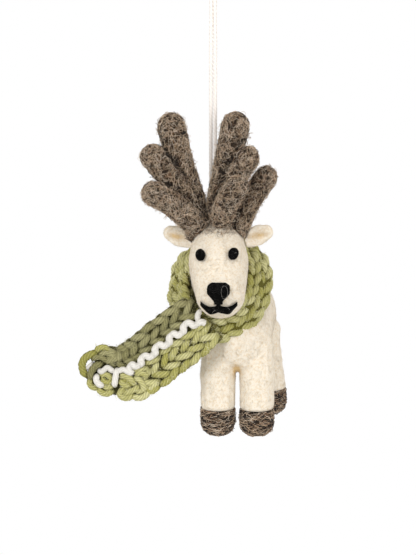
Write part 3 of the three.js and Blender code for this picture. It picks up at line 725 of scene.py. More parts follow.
class Strands:
    """Collects plied strands of yarn or string into one mesh, in millimetres. The columns of each
    strand's vertices turn with its plies, so that every ridge is a clean line."""

    def __init__(self, plies=6, turn=8.5, groove=0.22):
        self.plies, self.turn, self.groove = plies, turn, groove
        self.vertices, self.faces = [], []
        self.grooves, self.shades, self.tones = [], [], []
        self.count = 0

    def add(self, line, ups, radii, tone=0.5, phase=0.0, closed=False, shade=0.0):
        """One strand along a line of points; ups points away from the cloth at each. Painted shade darkens
        it below, where it lies on the cloth, and more by shade."""
        line, ups = np.asarray(line, float), np.asarray(ups, float)
        radii = np.broadcast_to(radii, len(line))
        if closed:
            along = unit(np.roll(line, -1, axis=0) - np.roll(line, 1, axis=0))
        else:
            along = unit(np.gradient(line, axis=0))
        side = unit(np.cross(along, ups))
        up = np.cross(side, along)
        walked = walked_along(line)
        slip = None
        if closed:
            round_trip = walked[-1] + np.linalg.norm(line[0] - line[-1])
            turns = max(1, round(round_trip / self.turn * self.plies)) / self.plies
            twist = walked / round_trip * turns * 2 * np.pi
            slip = round(turns * self.plies) * len(PLY_DEPTHS)
        else:
            twist = walked / self.turn * 2 * np.pi + phase
        depth = np.tile(PLY_DEPTHS, self.plies)
        sides, rings = len(depth), len(line)
        angle = np.arange(sides) / sides * 2 * np.pi + twist[:, None]
        rough = np.random.default_rng(self.count).normal(1, self.groove * 0.16, (rings, sides))
        size = radii[:, None] * (1 - self.groove * depth) * rough
        ring = np.cos(angle)[:, :, None] * side[:, None] + np.sin(angle)[:, :, None] * up[:, None]
        self.vertices.append((line[:, None] + size[:, :, None] * ring).reshape(-1, 3))
        self.faces += [tuple(self.count + k for k in face) for face in tube(rings, sides, slip)]
        # painted shade on the underside of the strand
        below = np.clip(0.62 - np.sin(angle), 0, 1) ** 1.5
        self.shades.append(np.clip(below + np.broadcast_to(shade, rings)[:, None], 0, 1).ravel())
        self.grooves.append(np.tile(depth, rings))
        self.tones.append(np.full(rings * sides, tone))
        self.count += rings * sides

    def piece(self, name, material):
        made = mesh_piece(name, np.vstack(self.vertices), self.faces)
        set_attribute(made, "groove", np.concatenate(self.grooves))
        set_attribute(made, "shade", np.concatenate(self.shades))
        set_attribute(made, "tone", np.concatenate(self.tones))
        dress(made, material)
        return made


def scattered(rng, places, corners, count, hollow, where):
    """Roots spread over a skin of triangles, with the normal and one corner of the face of each.
    They are fewer in hollows and where where(places) is small."""
    a, b, c = (places[corners[:, k]] for k in range(3))
    cross = np.cross(b - a, c - a)
    area = np.linalg.norm(cross, axis=1)
    if where:
        area *= where((a + b + c) / 3)
    if hollow is not None:
        area *= 1 - HOLLOW_BARE * hollow[corners[:, 0]]
    chosen = rng.choice(len(area), count, p=area / area.sum())
    u, v = rng.random(count), rng.random(count)
    flip = u + v > 1
    u[flip], v[flip] = 1 - u[flip], 1 - v[flip]
    root = a[chosen] + (b - a)[chosen] * u[:, None] + (c - a)[chosen] * v[:, None]
    return root, unit(cross[chosen]), corners[chosen, 0]


def combed(tree, spot, facing, heading, reach, bend, heights):
    """Lines that walk over a skin from their roots, with the skin's normals along them. Each step
    turns by its bend, and each point stands off by its height."""
    line, ups = [], []
    for step, height in enumerate(heights):
        line.append(spot + facing * height[:, None])
        ups.append(facing)
        if step == len(heights) - 1:
            break
        side = np.cross(facing, heading)
        angle = bend[:, step][:, None]
        heading = unit(heading * np.cos(angle) + side * np.sin(angle))
        met = [tree.find_nearest(Vector(p))[:2] for p in spot + heading * reach[:, None]]
        spot = np.array([place for place, _ in met], float)
        facing = np.array([normal for _, normal in met], float)
        heading = unit(heading - facing * (heading * facing).sum(1, keepdims=True))
    return np.stack(line, axis=1), np.stack(ups, axis=1)


def hairs(name, source, kind, tints, seed, lay=None, joints=4, hollow=None, where=None):
    """Loose fibres on a piece: thin curved hairs that lie on its skin and stand off it here and
    there. tints holds (colour, weight) pairs; lay is an axis that the hairs tend to go round.
    Hairs in a hollow are fewer, and darkened by painted shade, and where(places) thins them out."""
    count, length, radius, lift, curl = FIBRES[kind]
    rng = np.random.default_rng(seed)
    mesh = source.data
    mesh.calc_loop_triangles()
    corners = np.empty(len(mesh.loop_triangles) * 3, np.int64)
    mesh.loop_triangles.foreach_get("vertices", corners)
    corners = corners.reshape(-1, 3)
    places, _ = read_points(mesh)
    root, normal, corner = scattered(rng, places, corners, count, hollow, where)
    heading = rng.normal(size=(count, 3))
    if lay is not None:
        heading = heading * 0.2 + np.cross(lay, normal) * rng.choice([-1, 1], count)[:, None]
    heading = unit(heading - normal * (heading * normal).sum(1, keepdims=True))
    reach = length * rng.uniform(*HAIR_LENGTHS, count) / joints
    bend = rng.normal(0, curl, (count, joints))
    rise = lift * rng.gamma(*HAIR_RISES, count)
    heights = []
    for share in (step / joints for step in range(joints + 1)):
        arch = rise * math.sin(math.pi * min(1.0, share * 1.25)) * (0.4 + share)
        heights.append(radius * 0.4 + arch)
    tree = BVHTree.FromPolygons(places.tolist(), corners.tolist())
    line, ups = combed(tree, root, normal, heading, reach, bend, heights)
    along = unit(np.gradient(line, axis=1))
    side = unit(np.cross(along, ups))
    up = np.cross(side, along)
    root_end, tip_end = HAIR_ENDS
    taper = radius * np.array([root_end, *[1.0] * (joints - 1), tip_end])
    around = np.arange(3) / 3 * 2 * np.pi
    ring = np.cos(around)[:, None] * side[:, :, None] + np.sin(around)[:, None] * up[:, :, None]
    vertices = (line[:, :, None] + taper[None, :, None, None] * ring).reshape(-1, 3)
    per = (joints + 1) * 3
    pattern = tube(joints + 1, 3)
    faces = [tuple(s + n * per for s in f) for n in range(count) for f in pattern]
    made = mesh_piece(name, vertices, faces)
    weights = np.array([w for _, w in tints])
    picked = rng.choice(len(tints), count, p=weights / weights.sum())
    shades = np.array([colour for colour, _ in tints])[picked]
    shades = shades * rng.uniform(*HAIR_TONES, (count, 1))
    # painted shade on the hairs in hollows
    if hollow is not None:
        shades = shades * (1 - HOLLOW_SHADE * hollow[corner])[:, None]
    colours = np.ones((count, per, 4))
    colours[:, :, :3] = np.clip(shades, 0, 1)[:, None]
    set_attribute(made, "tint", colours, "FLOAT_COLOR")
    return made


def felt_hairs(name, source, kind, wool, tints, seed, **more):
    """Loose fibres of the cream, heather or black wool, which move with the reindeer."""
    fuzz = hairs(name, source, kind, tints, seed, **more)
    dress(fuzz, loose_fibre(f"{wool}_fibre"))
    return fasten(fuzz, FELT_SLOTS[wool])


# Settings


def colour_setting(name, description, default):
    return bpy.props.FloatVectorProperty(
        name=name, description=description, subtype="COLOR", size=3, min=0, max=1, default=default
    )


def size_setting(name, description, default, **kind):
    return bpy.props.FloatProperty(name=name, description=description, default=default, **kind)


class FeltSettings(bpy.types.PropertyGroup):
    """Colours and fineness of the felt."""

    cream: colour_setting("Cream", "Wool of the body, head and ears", (0.765, 0.716, 0.63))
    # tan is also the painted shade in the folds of the ears and where the front legs part
    tan: colour_setting("Tan", "Flecks and the fold of the ears", (0.58, 0.4, 0.17))
    heather: colour_setting("Heather", "Middle shade of the antlers", (0.075, 0.048, 0.032))
    heather_dark: colour_setting("Heather dark", "Shadow shade of the antlers", (0.014, 0.008, 0.005))
    heather_light: colour_setting("Heather light", "Pale fibres of the antlers", (0.49, 0.365, 0.25))
    rust: colour_setting("Rust", "Rusty fibres of the antlers", (0.21, 0.1, 0.048))
    black: colour_setting("Black", "Wool of the eyes, nose and mouth", (0.003, 0.003, 0.003))
    voxel: size_setting("Fineness", "Size of the faces of the felt, in mm", 0.45, min=0.3, max=2)


class ScarfSettings(bpy.types.PropertyGroup):
    """Yarn and stitches of the scarf."""

    light: colour_setting("Light green", "Main yarn", (0.49, 0.475, 0.115))
    # Lit and shaded copies of each yarn: painted highlight on its fibres and painted shade between the
    # plies, under the strands and on the cloth; they also bound the random tone of each stitch
    light_glow: colour_setting("Light green, lit", "Fibres of the main yarn", (0.83, 0.815, 0.58))
    light_deep: colour_setting("Light green, deep", "Between the plies", (0.055, 0.048, 0.0))
    dark: colour_setting("Olive", "Second yarn", (0.30, 0.285, 0.125))
    dark_glow: colour_setting("Olive, lit", "Fibres of the second yarn", (0.50, 0.485, 0.28))
    dark_deep: colour_setting("Olive, deep", "Between the plies", (0.026, 0.024, 0.0))
    white: colour_setting("White", "Yarn of the single row", (0.69, 0.68, 0.66))
    yarn: size_setting("Yarn", "Thickness of the yarn, in mm", 2.8, min=0.5, max=5)
    row: size_setting("Row", "Between rows of stitches, in mm", 2.9, min=1, max=8)
    course: size_setting("Course", "Between stitches of a row, in mm", 5.0, min=1, max=12)
    reach: size_setting("Reach", "Length of a stitch over its course", 1.34, min=1, max=3)


class StringSettings(bpy.types.PropertyGroup):
    """The looped string."""

    cotton: colour_setting("Cotton", "Colour of the string", (0.92, 0.88, 0.85))
    diameter: size_setting("Diameter", "Thickness of the string, in mm", 1.45, min=0.5, max=4)
    turn: size_setting("Twist", "Length of one turn of the plies, in mm", 4.4, min=1, max=20)


class StageSettings(bpy.types.PropertyGroup):
    """The view and the light."""

    azimuth: size_setting(
        "Azimuth", "How far round the camera stands", math.radians(3.5), subtype="ANGLE"
    )
    elevation: size_setting(
        "Elevation", "How far above the camera stands", math.radians(8), subtype="ANGLE"
    )
    distance: size_setting("Distance", "From the camera to the ornament", 0.9, unit="LENGTH")


# Pieces


class ORNAMENT_OT_stage(bpy.types.Operator):
    """Camera, floor, backdrop and light"""

    bl_idname = "ornament.stage"
    bl_label = "Stage"

    def execute(self, context):
        settings = context.scene.ornament_stage
        target = Vector(CAMERA_TARGET) * MM
        az, el = settings.azimuth, settings.elevation
        back = Vector((math.sin(az) * math.cos(el), -math.cos(az) * math.cos(el), math.sin(el)))
        data = bpy.data.cameras.new("camera")
        data.sensor_width, data.lens = SENSOR, LENS
        camera = self.aimed("camera", data, target + back * settings.distance, -back)
        context.scene.camera = camera
        self.floor()
        for name, (place, size, power) in LIGHTS.items():
            data = bpy.data.lights.new(name, "AREA")
            data.shape, data.size, data.energy = "DISK", size, power
            spot = target + Vector(place)
            self.aimed(name, data, spot, target - spot)
        context.scene.world = self.surroundings()
        context.scene.view_settings.view_transform = "Standard"
        return {"FINISHED"}

    def aimed(self, name, data, place, direction):
        """A camera or a lamp at a place, looking in a direction."""
        made = bpy.data.objects.new(name, data)
        made.location = place
        made.rotation_mode = "QUATERNION"
        made.rotation_quaternion = direction.to_track_quat("-Z", "Y")
        bpy.context.scene.collection.objects.link(made)
        return made

    def surroundings(self):
        """A warm glow from all sides, which the camera sees as white."""
        world = bpy.data.worlds.new("studio")
        world.use_nodes = True
        tree = world.node_tree
        warm = tree.nodes["Background"]
        warm.inputs["Color"].default_value = (1, 0.95, 0.88, 1)
        warm.inputs["Strength"].default_value = 0.8
        white = tree.nodes.new("ShaderNodeBackground")
        white.inputs["Color"].default_value = (1, 1, 1, 1)
        seen = tree.nodes.new("ShaderNodeLightPath").outputs["Is Camera Ray"]
        white_where(tree, seen, warm, white, tree.nodes["World Output"].inputs["Surface"])
        return world

    def floor(self):
        """A pale floor below the hooves that curves up into a backdrop."""
        low, depth, height, half = FLOOR
        bend = [(FLOOR_FRONT, low)]
        for k in range(13):
            turn = k / 12 * math.pi / 2
            bend.append((depth + math.sin(turn), low + 1 - math.cos(turn)))
        bend.append((depth + 1, low + height))
        vertices = [(x / MM, y / MM, z / MM) for y, z in bend for x in (-half, half)]
        faces = [(2 * k, 2 * k + 1, 2 * k + 3, 2 * k + 2) for k in range(len(bend) - 1)]
        floor = mesh_piece("backdrop", vertices, faces)
        dress(floor, plain_backdrop())


class ORNAMENT_OT_string(bpy.types.Operator):
    """The looped string and its knots"""

    bl_idname = "ornament.string"
    bl_label = "String"

    def execute(self, context):
        settings = context.scene.ornament_string
        cotton = rgb(settings.cotton)
        # shaded and lit copies of the cotton, for its painted shade and painted highlight
        deep, glow = mixed(cotton, (0.3, 0.22, 0.16), 0.25), (0.95, 0.93, 0.9)
        material = yarn("string_cotton", cotton, deep, glow)
        line = smooth_line(np.array(STRING_ROUTE) + np.array(STRING_FOOT), 420)
        loop = Strands(plies=3, turn=settings.turn, groove=0.2)
        loop.add(line, np.tile(FORWARD, (len(line), 1)), settings.diameter / 2 * 1.04)
        cord = loop.piece("string_loop", material)
        fasten(cord, "string_cotton", "hanging_cord", body="hanging_loop")
        for name, (centre, size, node, body) in KNOTS.items():
            knot = self.knot(name, np.array(centre), size, settings.turn, material)
            fasten(knot, "string_cotton", node, body=body)
        dress(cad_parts["anchor_knot"], material)
        return {"FINISHED"}

    def knot(self, name, centre, size, ply_turn, material):
        """A trefoil, drawn tight."""
        turn = np.linspace(0, 2 * np.pi, 90, endpoint=False)
        x = (np.sin(turn) + 1.6 * np.sin(2 * turn)) * size * 0.62
        z = (np.cos(turn) - 1.6 * np.cos(2 * turn)) * size * 0.62
        y = -np.sin(3 * turn) * size * 0.85
        line = np.column_stack([x, y, z]) + centre
        knot = Strands(plies=3, turn=ply_turn, groove=0.28)
        knot.add(line, unit(line - centre + (0, -1e-4, 0)), size * 0.86, closed=True)
        return knot.piece(name, material)


def cream_tints(settings):
    """Colours of the loose cream fibres, and how common each is."""
    cream, tan = rgb(settings.cream), rgb(settings.tan)
    return ((cream, 5), (mixed(cream, tan, 0.25), 3), (mixed(cream, tan, 0.6), 0.4))


class ORNAMENT_OT_body(bpy.types.Operator):
    """Torso, neck and legs as one felted body"""

    bl_idname = "ornament.body"
    bl_label = "Body"

    def execute(self, context):
        settings = context.scene.ornament_felt
        legs = [f"leg_{end}_{side}" for end in ("front", "rear") for side in ("left", "right")]
        nodes = ["torso", "neck", "tail_stub", *legs]
        piece = felt_form("felt_body", nodes, close=self.close, voxel=settings.voxel, **FELTS["body"])
        dress(piece, cream_felt(settings))
        places = self.shape(piece)
        # painted tan shade in the crease where the front legs part, kept as the fold attribute
        aside, up = places[:, 0] - CROTCH[0], places[:, 2] - CROTCH[1]
        strength, wide, high = CROTCH_SHADE
        fold = strength * np.exp(-((aside / wide) ** 2) - (up / high) ** 2)
        set_attribute(piece, "fold", fold)
        fasten(piece, "cream_felt", *nodes)
        felt_hairs("body_fibres", piece, "body", "cream", cream_tints(settings), seed=11)
        return {"FINISHED"}

    def close(self, places):
        """Little between the legs, and more where they grow into the chest and the hips."""
        return np.interp(places[:, 2], *LEG_CLOSING)

    def shape(self, piece):
        """Lengthens the legs into the hooves and flattens the right hip."""
        places, _ = read_points(piece.data)
        stretch, reach = LEG_REACH
        places[:, 2] -= reach * np.clip((LEG_FOOT + stretch - places[:, 2]) / stretch, 0, 1)
        outside = np.clip((places[:, 0] - HIP[0]) / 8, 0, 1) * np.clip(places[:, 1] / 6, 0, 1)
        places[:, 0] -= HIP_FLAT * outside * np.exp(-(((places[:, 2] - HIP[1]) / 9) ** 2))
        write_points(piece.data, places)
        return places


class ORNAMENT_OT_head(bpy.types.Operator):
    """Head and ears"""

    bl_idname = "ornament.head"
    bl_label = "Head and ears"

    def execute(self, context):
        settings = context.scene.ornament_felt
        material = bpy.data.materials.get("cream_wool") or cream_felt(settings)
        piece = felt_form("felt_head", ["head"], voxel=settings.voxel, **FELTS["head"])
        dress(piece, material)
        fasten(piece, "cream_felt", "head")
        tints = cream_tints(settings)
        felt_hairs("head_fibres", piece, "head", "cream", tints, seed=12)
        self.fringe(piece, settings)
        for number, side in enumerate(("left", "right")):
            self.ear(side, material, tints, seed=13 + number)
        return {"FINISHED"}

    def fringe(self, head, settings):
        """Brown fibres that lie over the top of the forehead, at the foot of the antlers."""
        dark, _, light = heather_shades(settings)
        tints = ((light, 3), (mixed(light, dark, 0.5), 4), (dark, 3), (rgb(settings.rust), 1))

        def above(places):
            return np.clip((places[:, 2] - HAIRLINE) / 1.6, 0, 1)

        felt_hairs("fringe_fibres", head, "fringe", "heather", tints, seed=16, where=above)

    def ear(self, side, material, tints, seed):
        """An ear with its front pressed in along the middle, and painted tan shade along that crease."""
        node = f"ear_{side}"
        low, high = (np.array(c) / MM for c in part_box(node))
        inner, outer = (high[0], low[0]) if side == "left" else (low[0], high[0])
        root = np.array([inner, 0, low[2] + EAR_RISE[0] * (high[2] - low[2])])
        tip = np.array([outer, 0, low[2] + EAR_RISE[1] * (high[2] - low[2])])
        piece = felt_form(f"felt_{node}", [node], **FELTS["ear"])
        places, _ = read_points(piece.data)
        line = (tip - root) * (1, 0, 1)
        share = ((places - root) * (1, 0, 1)) @ line / (line @ line)
        foot = root + share[:, None] * line
        across = np.hypot(places[:, 0] - foot[:, 0], places[:, 2] - foot[:, 2])
        joint = np.clip(1 - share / 0.4, 0, 1) ** 2
        places += joint[:, None] * np.array(EAR_JOINTS[side])
        width = EAR_HOLLOW[0] * np.sqrt(np.clip(1 - ((share - 0.42) / 0.5) ** 2, 0.02, 1))
        ends = np.clip((0.98 - share) * 3, 0, 1) * np.clip((share + 0.05) * 6, 0, 1)
        front = places[:, 1] < (low[1] + high[1]) / 2
        pressed = np.where(front, np.exp(-((across / width) ** 2)) * ends, 0)
        places[:, 1] += pressed * EAR_HOLLOW[1]
        write_points(piece.data, places)
        # painted tan shade along the middle of the pressed hollow, kept as the fold attribute
        crease_shade = np.exp(-((across / (0.5 * width)) ** 2) - ((share - 0.5) / 0.3) ** 2)
        set_attribute(piece, "fold", np.where(front, crease_shade, 0))
        dress(piece, material)
        fasten(piece, "cream_felt", node)
        felt_hairs(f"{node}_fibres", piece, "ear", "cream", tints, seed)


class ORNAMENT_OT_antlers(bpy.types.Operator):
    """Antlers and hooves of heather felt"""

    bl_idname = "ornament.antlers"
    bl_label = "Antlers and hooves"

    def execute(self, context):
        settings = context.scene.ornament_felt
        dark, mid, light = heather_shades(settings)
        tints = (
            (light, 3.6),
            (mixed(light, (0.8, 0.7, 0.58), 0.6), 2.2),
            (mixed(mid, light, 0.35), 1.2),
            (mixed(rgb(settings.rust), light, 0.25), 2.4),
            (dark, 9),
        )
        for number, (side, tines) in enumerate(TINES.items()):
            nodes = [f"antler_{side}_{tine}" for tine in tines]
            piece = felt_form(f"felt_antler_{side}", nodes, **FELTS["antler"])
            self.tuck(piece)
            dress(piece, heather_felt(settings, f"heather_{side}"))
            fasten(piece, "brown_felt", *nodes)
            more = {"joints": 5, "hollow": find_hollows(piece)}
            name = f"antler_{side}"
            felt_hairs(f"{name}_fibres", piece, "antler", "heather", tints, 21 + number, **more)
            felt_hairs(f"{name}_fleece", piece, "fleece", "heather", tints[:2], 24 + number, **more)
        wound = heather_felt(settings, "heather_wound", (0.35, 0.35, 1.6))
        paler = (*tints[:-1], (dark, 6))
        for number, end in enumerate(("front_left", "front_right", "rear_left", "rear_right")):
            node = f"hoof_{end}"
            piece = felt_form(f"felt_{node}", [node], **FELTS["hoof"])
            self.wind(piece)
            dress(piece, wound)
            fasten(piece, "brown_felt", node)
            more = {"lay": (0, 0, 1), "hollow": find_hollows(piece)}
            felt_hairs(f"{node}_fibres", piece, "hoof", "heather", paler, 31 + number, **more)
        return {"FINISHED"}

    def tuck(self, piece):
        """Draws the outer side of an antler's root back behind the ear."""
        places, _ = read_points(piece.data)
        below = ANTLER_TUCK[1] - places[:, 2]
        outside = np.clip((ANTLER_TUCK[0] - places[:, 0]) / 1.2, 0, 1)
        places[:, 1] += 5 * np.clip(below / 1.5, 0, 1) * outside
        places[:, 2] += 0.5 * outside * np.clip(below, 0, 6)
        write_points(piece.data, places)

    def wind(self, piece):
        """Level bands round the hoof, where the wool was wound on, and its rim lower in front."""
        places, normals = read_points(piece.data)
        low, high = places.min(axis=0), places.max(axis=0)
        front = np.clip((low[1] + high[1] - 2 * places[:, 1]) / (high[1] - low[1]), 0, 1)
        rim = np.clip((places[:, 2] - high[2]) / 4 + 1, 0, 1)
        places[:, 2] += rim * (0.3 - 1.6 * front**1.5)
        bands = np.sin(places[:, 2] / HOOF_BAND * 2 * np.pi + wander(places, 4) * 3)
        steep = 1 - np.abs(normals[:, 2])
        write_points(piece.data, places + normals * (bands * steep * 0.13)[:, None])


class ORNAMENT_OT_face(bpy.types.Operator):
    """Eyes, nose and mouth"""

    bl_idname = "ornament.face"
    bl_label = "Face"

    def execute(self, context):
        material = black_felt(context.scene.ornament_felt)
        tints = (((0.004, 0.004, 0.004), 5), ((0.02, 0.019, 0.018), 1), ((0.4, 0.38, 0.36), 0.06))
        patches = {"eye_left": ["eye_left"], "eye_right": ["eye_right"], "muzzle": ["nose", "mouth"]}
        for number, (name, nodes) in enumerate(patches.items()):
            piece = felt_form(f"felt_{name}", nodes, **FELTS["face"])
            if name == "muzzle":
                self.round_nose(piece)
            dress(piece, material)
            fasten(piece, "black_felt", *nodes)
            kind = "muzzle" if name == "muzzle" else "eye"
            felt_hairs(f"{name}_fibres", piece, kind, "black", tints, seed=41 + number)
        self.stray_hair()
        return {"FINISHED"}

    def stray_hair(self):
        """The fibre that stands off the nose in a loop."""
        turn = np.linspace(0, 2 * np.pi, 36, endpoint=False)
        line = np.column_stack([1.2 * np.cos(turn), 0.25 * np.cos(2 * turn), 2.4 * np.sin(turn)])
        stray = Strands(plies=1, groove=0.0)
        stray.add(line + np.array(STRAY_HAIR), np.tile(FORWARD, (36, 1)), 0.05, closed=True)
        loop = stray.piece("nose_stray_fibre", loose_fibre("black_fibre"))
        grey = np.tile((0.22, 0.21, 0.2, 1), (len(loop.data.vertices), 1))
        set_attribute(loop, "tint", grey, "FLOAT_COLOR")
        fasten(loop, "black_felt")

    def round_nose(self, piece):
        """Fuller at the lower half of the nose, rounder at its upper corners, and fuller lips."""
        places, _ = read_points(piece.data)
        aside, up = places[:, 0] - NOSE_MIDDLE[0], places[:, 2] - NOSE_MIDDLE[1]
        full = NOSE_FULLNESS * np.exp(-(up**2)) - NOSE_FULLNESS * np.clip((up - 2.9) / 0.8, 0, 1)
        places[:, 0] += aside * full
        wide, hang = LIP_SIZE
        lips = sum(np.exp(-(((aside - middle) / wide) ** 2)) for middle in LIPS)
        below = np.clip((places[:, 2].min() + 1.6 - places[:, 2]) / 1.1, 0, 1)
        places[:, 2] -= hang * lips * below
        write_points(piece.data, places)


# The scarf


class Tail:
    """The loose tail as a strip. A place on it is counted along from the chin, and across from
    the middle, down the face being positive."""

    def __init__(self):
        route = np.array(TAIL_ROOT) + TAIL_REACH * np.array(TAIL_SHARES)
        line = smooth_line(np.column_stack([route, TAIL_WIDTHS]), 400)
        self.middle, self.widths = line[:, :3], line[:, 3]
        self.walked = walked_along(self.middle)
        self.length = self.walked[-1]
        self.along = unit(np.gradient(self.middle, axis=0))
        self.off = unit(np.array(FORWARD) + self.along * self.along[:, 1:2])
        self.down = np.cross(self.off, self.along)

    def read(self, table, u):
        return np.column_stack([np.interp(u, self.walked, table[:, k]) for k in range(3)])

    def width(self, u):
        return np.interp(u, self.walked, self.widths)

    def place(self, u, across, height, face=1):
        """Points on the strip and the way off it there; face -1 is the back."""
        u, across, height = np.broadcast_arrays(np.atleast_1d(u).astype(float), across, height)
        off = self.read(self.off, u) * face
        past = u - np.clip(u, 0, self.length)
        middle = self.read(self.middle, u) + self.read(self.along, u) * past[:, None]
        return middle + self.read(self.down, u) * across[:, None] + off * height[:, None], off


class Collar:
    """The scarf's ring about the neck, as a strip that closes on itself."""

    def __init__(self, radius=COLLAR_RADIUS, height=COLLAR_HEIGHT, depth=COLLAR_DEPTH):
        self.radius, self.height, self.depth = radius, height, depth
        self.turn = np.linspace(0, 2 * np.pi, 361)
        self.walked = walked_along(self.ring(self.turn, 0 * self.turn, 0 * self.turn)[0])
        self.length = self.walked[-1]

    def ring(self, turn, along, off):
        side, rise, out = (np.array(v) for v in (COLLAR_SIDE, COLLAR_RISE, COLLAR_OUT))
        ray = np.cos(turn)[:, None] * side + np.sin(turn)[:, None] * rise
        drop = COLLAR_DROP * np.clip(-np.sin(turn), 0, None) ** 2
        cos, sin = math.cos(COLLAR_SLANT), math.sin(COLLAR_SLANT)
        radius = self.radius + drop - along * sin * COLLAR_SLANT_SHARE + off * cos
        height = self.height + along * cos + off * sin
        points = np.array(COLLAR_CENTRE) + ray * radius[:, None] + out * height[:, None]
        return points, unit(ray * cos + out * sin)

    def width(self, u):
        return np.full(np.shape(u), self.depth)

    def place(self, u, across, height, face=1):
        u, across, height = np.broadcast_arrays(np.atleast_1d(u).astype(float), across, height)
        turn = np.interp(u % self.length, self.walked, self.turn)
        points, off = self.ring(turn, across, height * face)
        return points, off * face


def knit_row(strands, strip, share, slant, settings, rng, span, face=1, height=0.0, phase=0.0):
    """One row of plump slanting stitches along a strip, each tucked under its neighbours. The row
    lies at a share of the strip's width from its middle."""
    start, end = span
    count = max(1, round((end - start) / settings.course))
    pitch = (end - start) / count
    radius = settings.yarn / 2
    t = np.linspace(0, 1, 13)
    bow = np.sin(np.pi * t)
    for number in range(count):
        middle = start + (number + 0.5 + phase) * pitch + rng.normal(0, UNEVEN["along"])
        u = middle + (t - 0.5) * pitch * (settings.reach + rng.normal(0, UNEVEN["reach"]))
        lean = slant * settings.row * rng.normal(*UNEVEN_SLANT)
        across = share * strip.width(u) + lean * (t - 0.5 - 0.08 * np.sin(2 * np.pi * t))
        edge = np.maximum(strip.width(u) / 2 - radius * 0.75, abs(share) * strip.width(u))
        across = np.clip(across + rng.normal(0, UNEVEN["across"]), -edge, edge)
        rise = height + (bow**0.7 - 0.75) * radius * 1.6 + rng.normal(0, UNEVEN["rise"])
        line, ups = strip.place(u, across, rise, face)
        radii = radius * (0.5 + 0.5 * bow**0.6) * rng.uniform(0.93, 1.07)
        turned = rng.random() * 6.3
        # painted shade towards the stitch's ends, where it dives under its neighbours
        strands.add(line, ups, radii, tone=rng.random(), phase=turned, shade=(1 - bow) ** 2)


def laid_yarn(strands, strip, places, radius, height, tone, dim=0.0):
    """A length of yarn through places on a strip, sinking into the knit at its ends, which get painted
    shade.
    """
    flat = smooth_line(np.array(places, float), max(8, 5 * len(places)))
    bow = np.clip(np.sin(np.linspace(0, np.pi, len(flat))) * 2.2, 0, 1)
    line, ups = strip.place(flat[:, 0], flat[:, 1], TAIL_THICKNESS / 2 + height - (1 - bow) * 1.7)
    radii = radius * (LAID_END + (1 - LAID_END) * bow)
    # painted shade at the ends, where it sinks in; dim darkens all of it
    strands.add(line, ups, radii, tone=tone, shade=dim + (1 - bow) ** 1.5)


def ground(name, strip, size, span, material, ring=False, steps=60):
    """The cloth behind the stitches, dark with painted shade, of half a width given as a share, and a
    thickness.
    """
    half, thickness = size
    u = np.linspace(*span, steps, endpoint=not ring)
    rows = []
    for face in (1, -1):
        for share in np.linspace(-half, half, 7)[::face]:
            rows.append(strip.place(u, share * strip.width(u), thickness / 2, face)[0])
    grid = np.stack(rows, axis=1)
    faces = tube(steps, grid.shape[1], slip=0 if ring else None)
    piece = mesh_piece(name, grid.reshape(-1, 3), faces)
    count = len(piece.data.vertices)
    # painted shade: the cloth takes nearly all of the yarn's shadow colour
    for kept, value in (("groove", 0.9), ("shade", 0.9), ("tone", 0.0)):
        set_attribute(piece, kept, np.full(count, value))
    dress(piece, material)
    edit_all(piece, "normals_make_consistent", inside=False)
    return piece


def yarn_materials(settings):
    """The three yarns, made once."""
    shades = {}
    for name in ("light", "dark"):
        base, glow, deep = (rgb(getattr(settings, name + end)) for end in ("", "_glow", "_deep"))
        shades[name] = (base, deep, glow)
    white = rgb(settings.white)
    # the white yarn's shaded and lit copies, for its painted shade and painted highlight
    shades["white"] = (white, mixed(white, (0.4, 0.38, 0.3), 0.6), (0.95, 0.94, 0.9))
    made = {}
    for name, colours in shades.items():
        made[name] = bpy.data.materials.get(f"yarn_{name}") or yarn(f"yarn_{name}", *colours)
    return made


def yarn_fuzz(name, knit, kind, settings, shade, seed):
    """Fine wisps that stand off the yarn."""
    base, glow = rgb(getattr(settings, shade)), rgb(getattr(settings, f"{shade}_glow"))
    # painted highlight: the wisps take mostly the lit copy of the yarn
    tints = ((glow, 2), (mixed(base, glow, 0.5), 2), (base, 1))
    fuzz = hairs(name, knit, kind, tints, seed)
    dress(fuzz, loose_fibre("yarn_fibre"))
    return fuzz


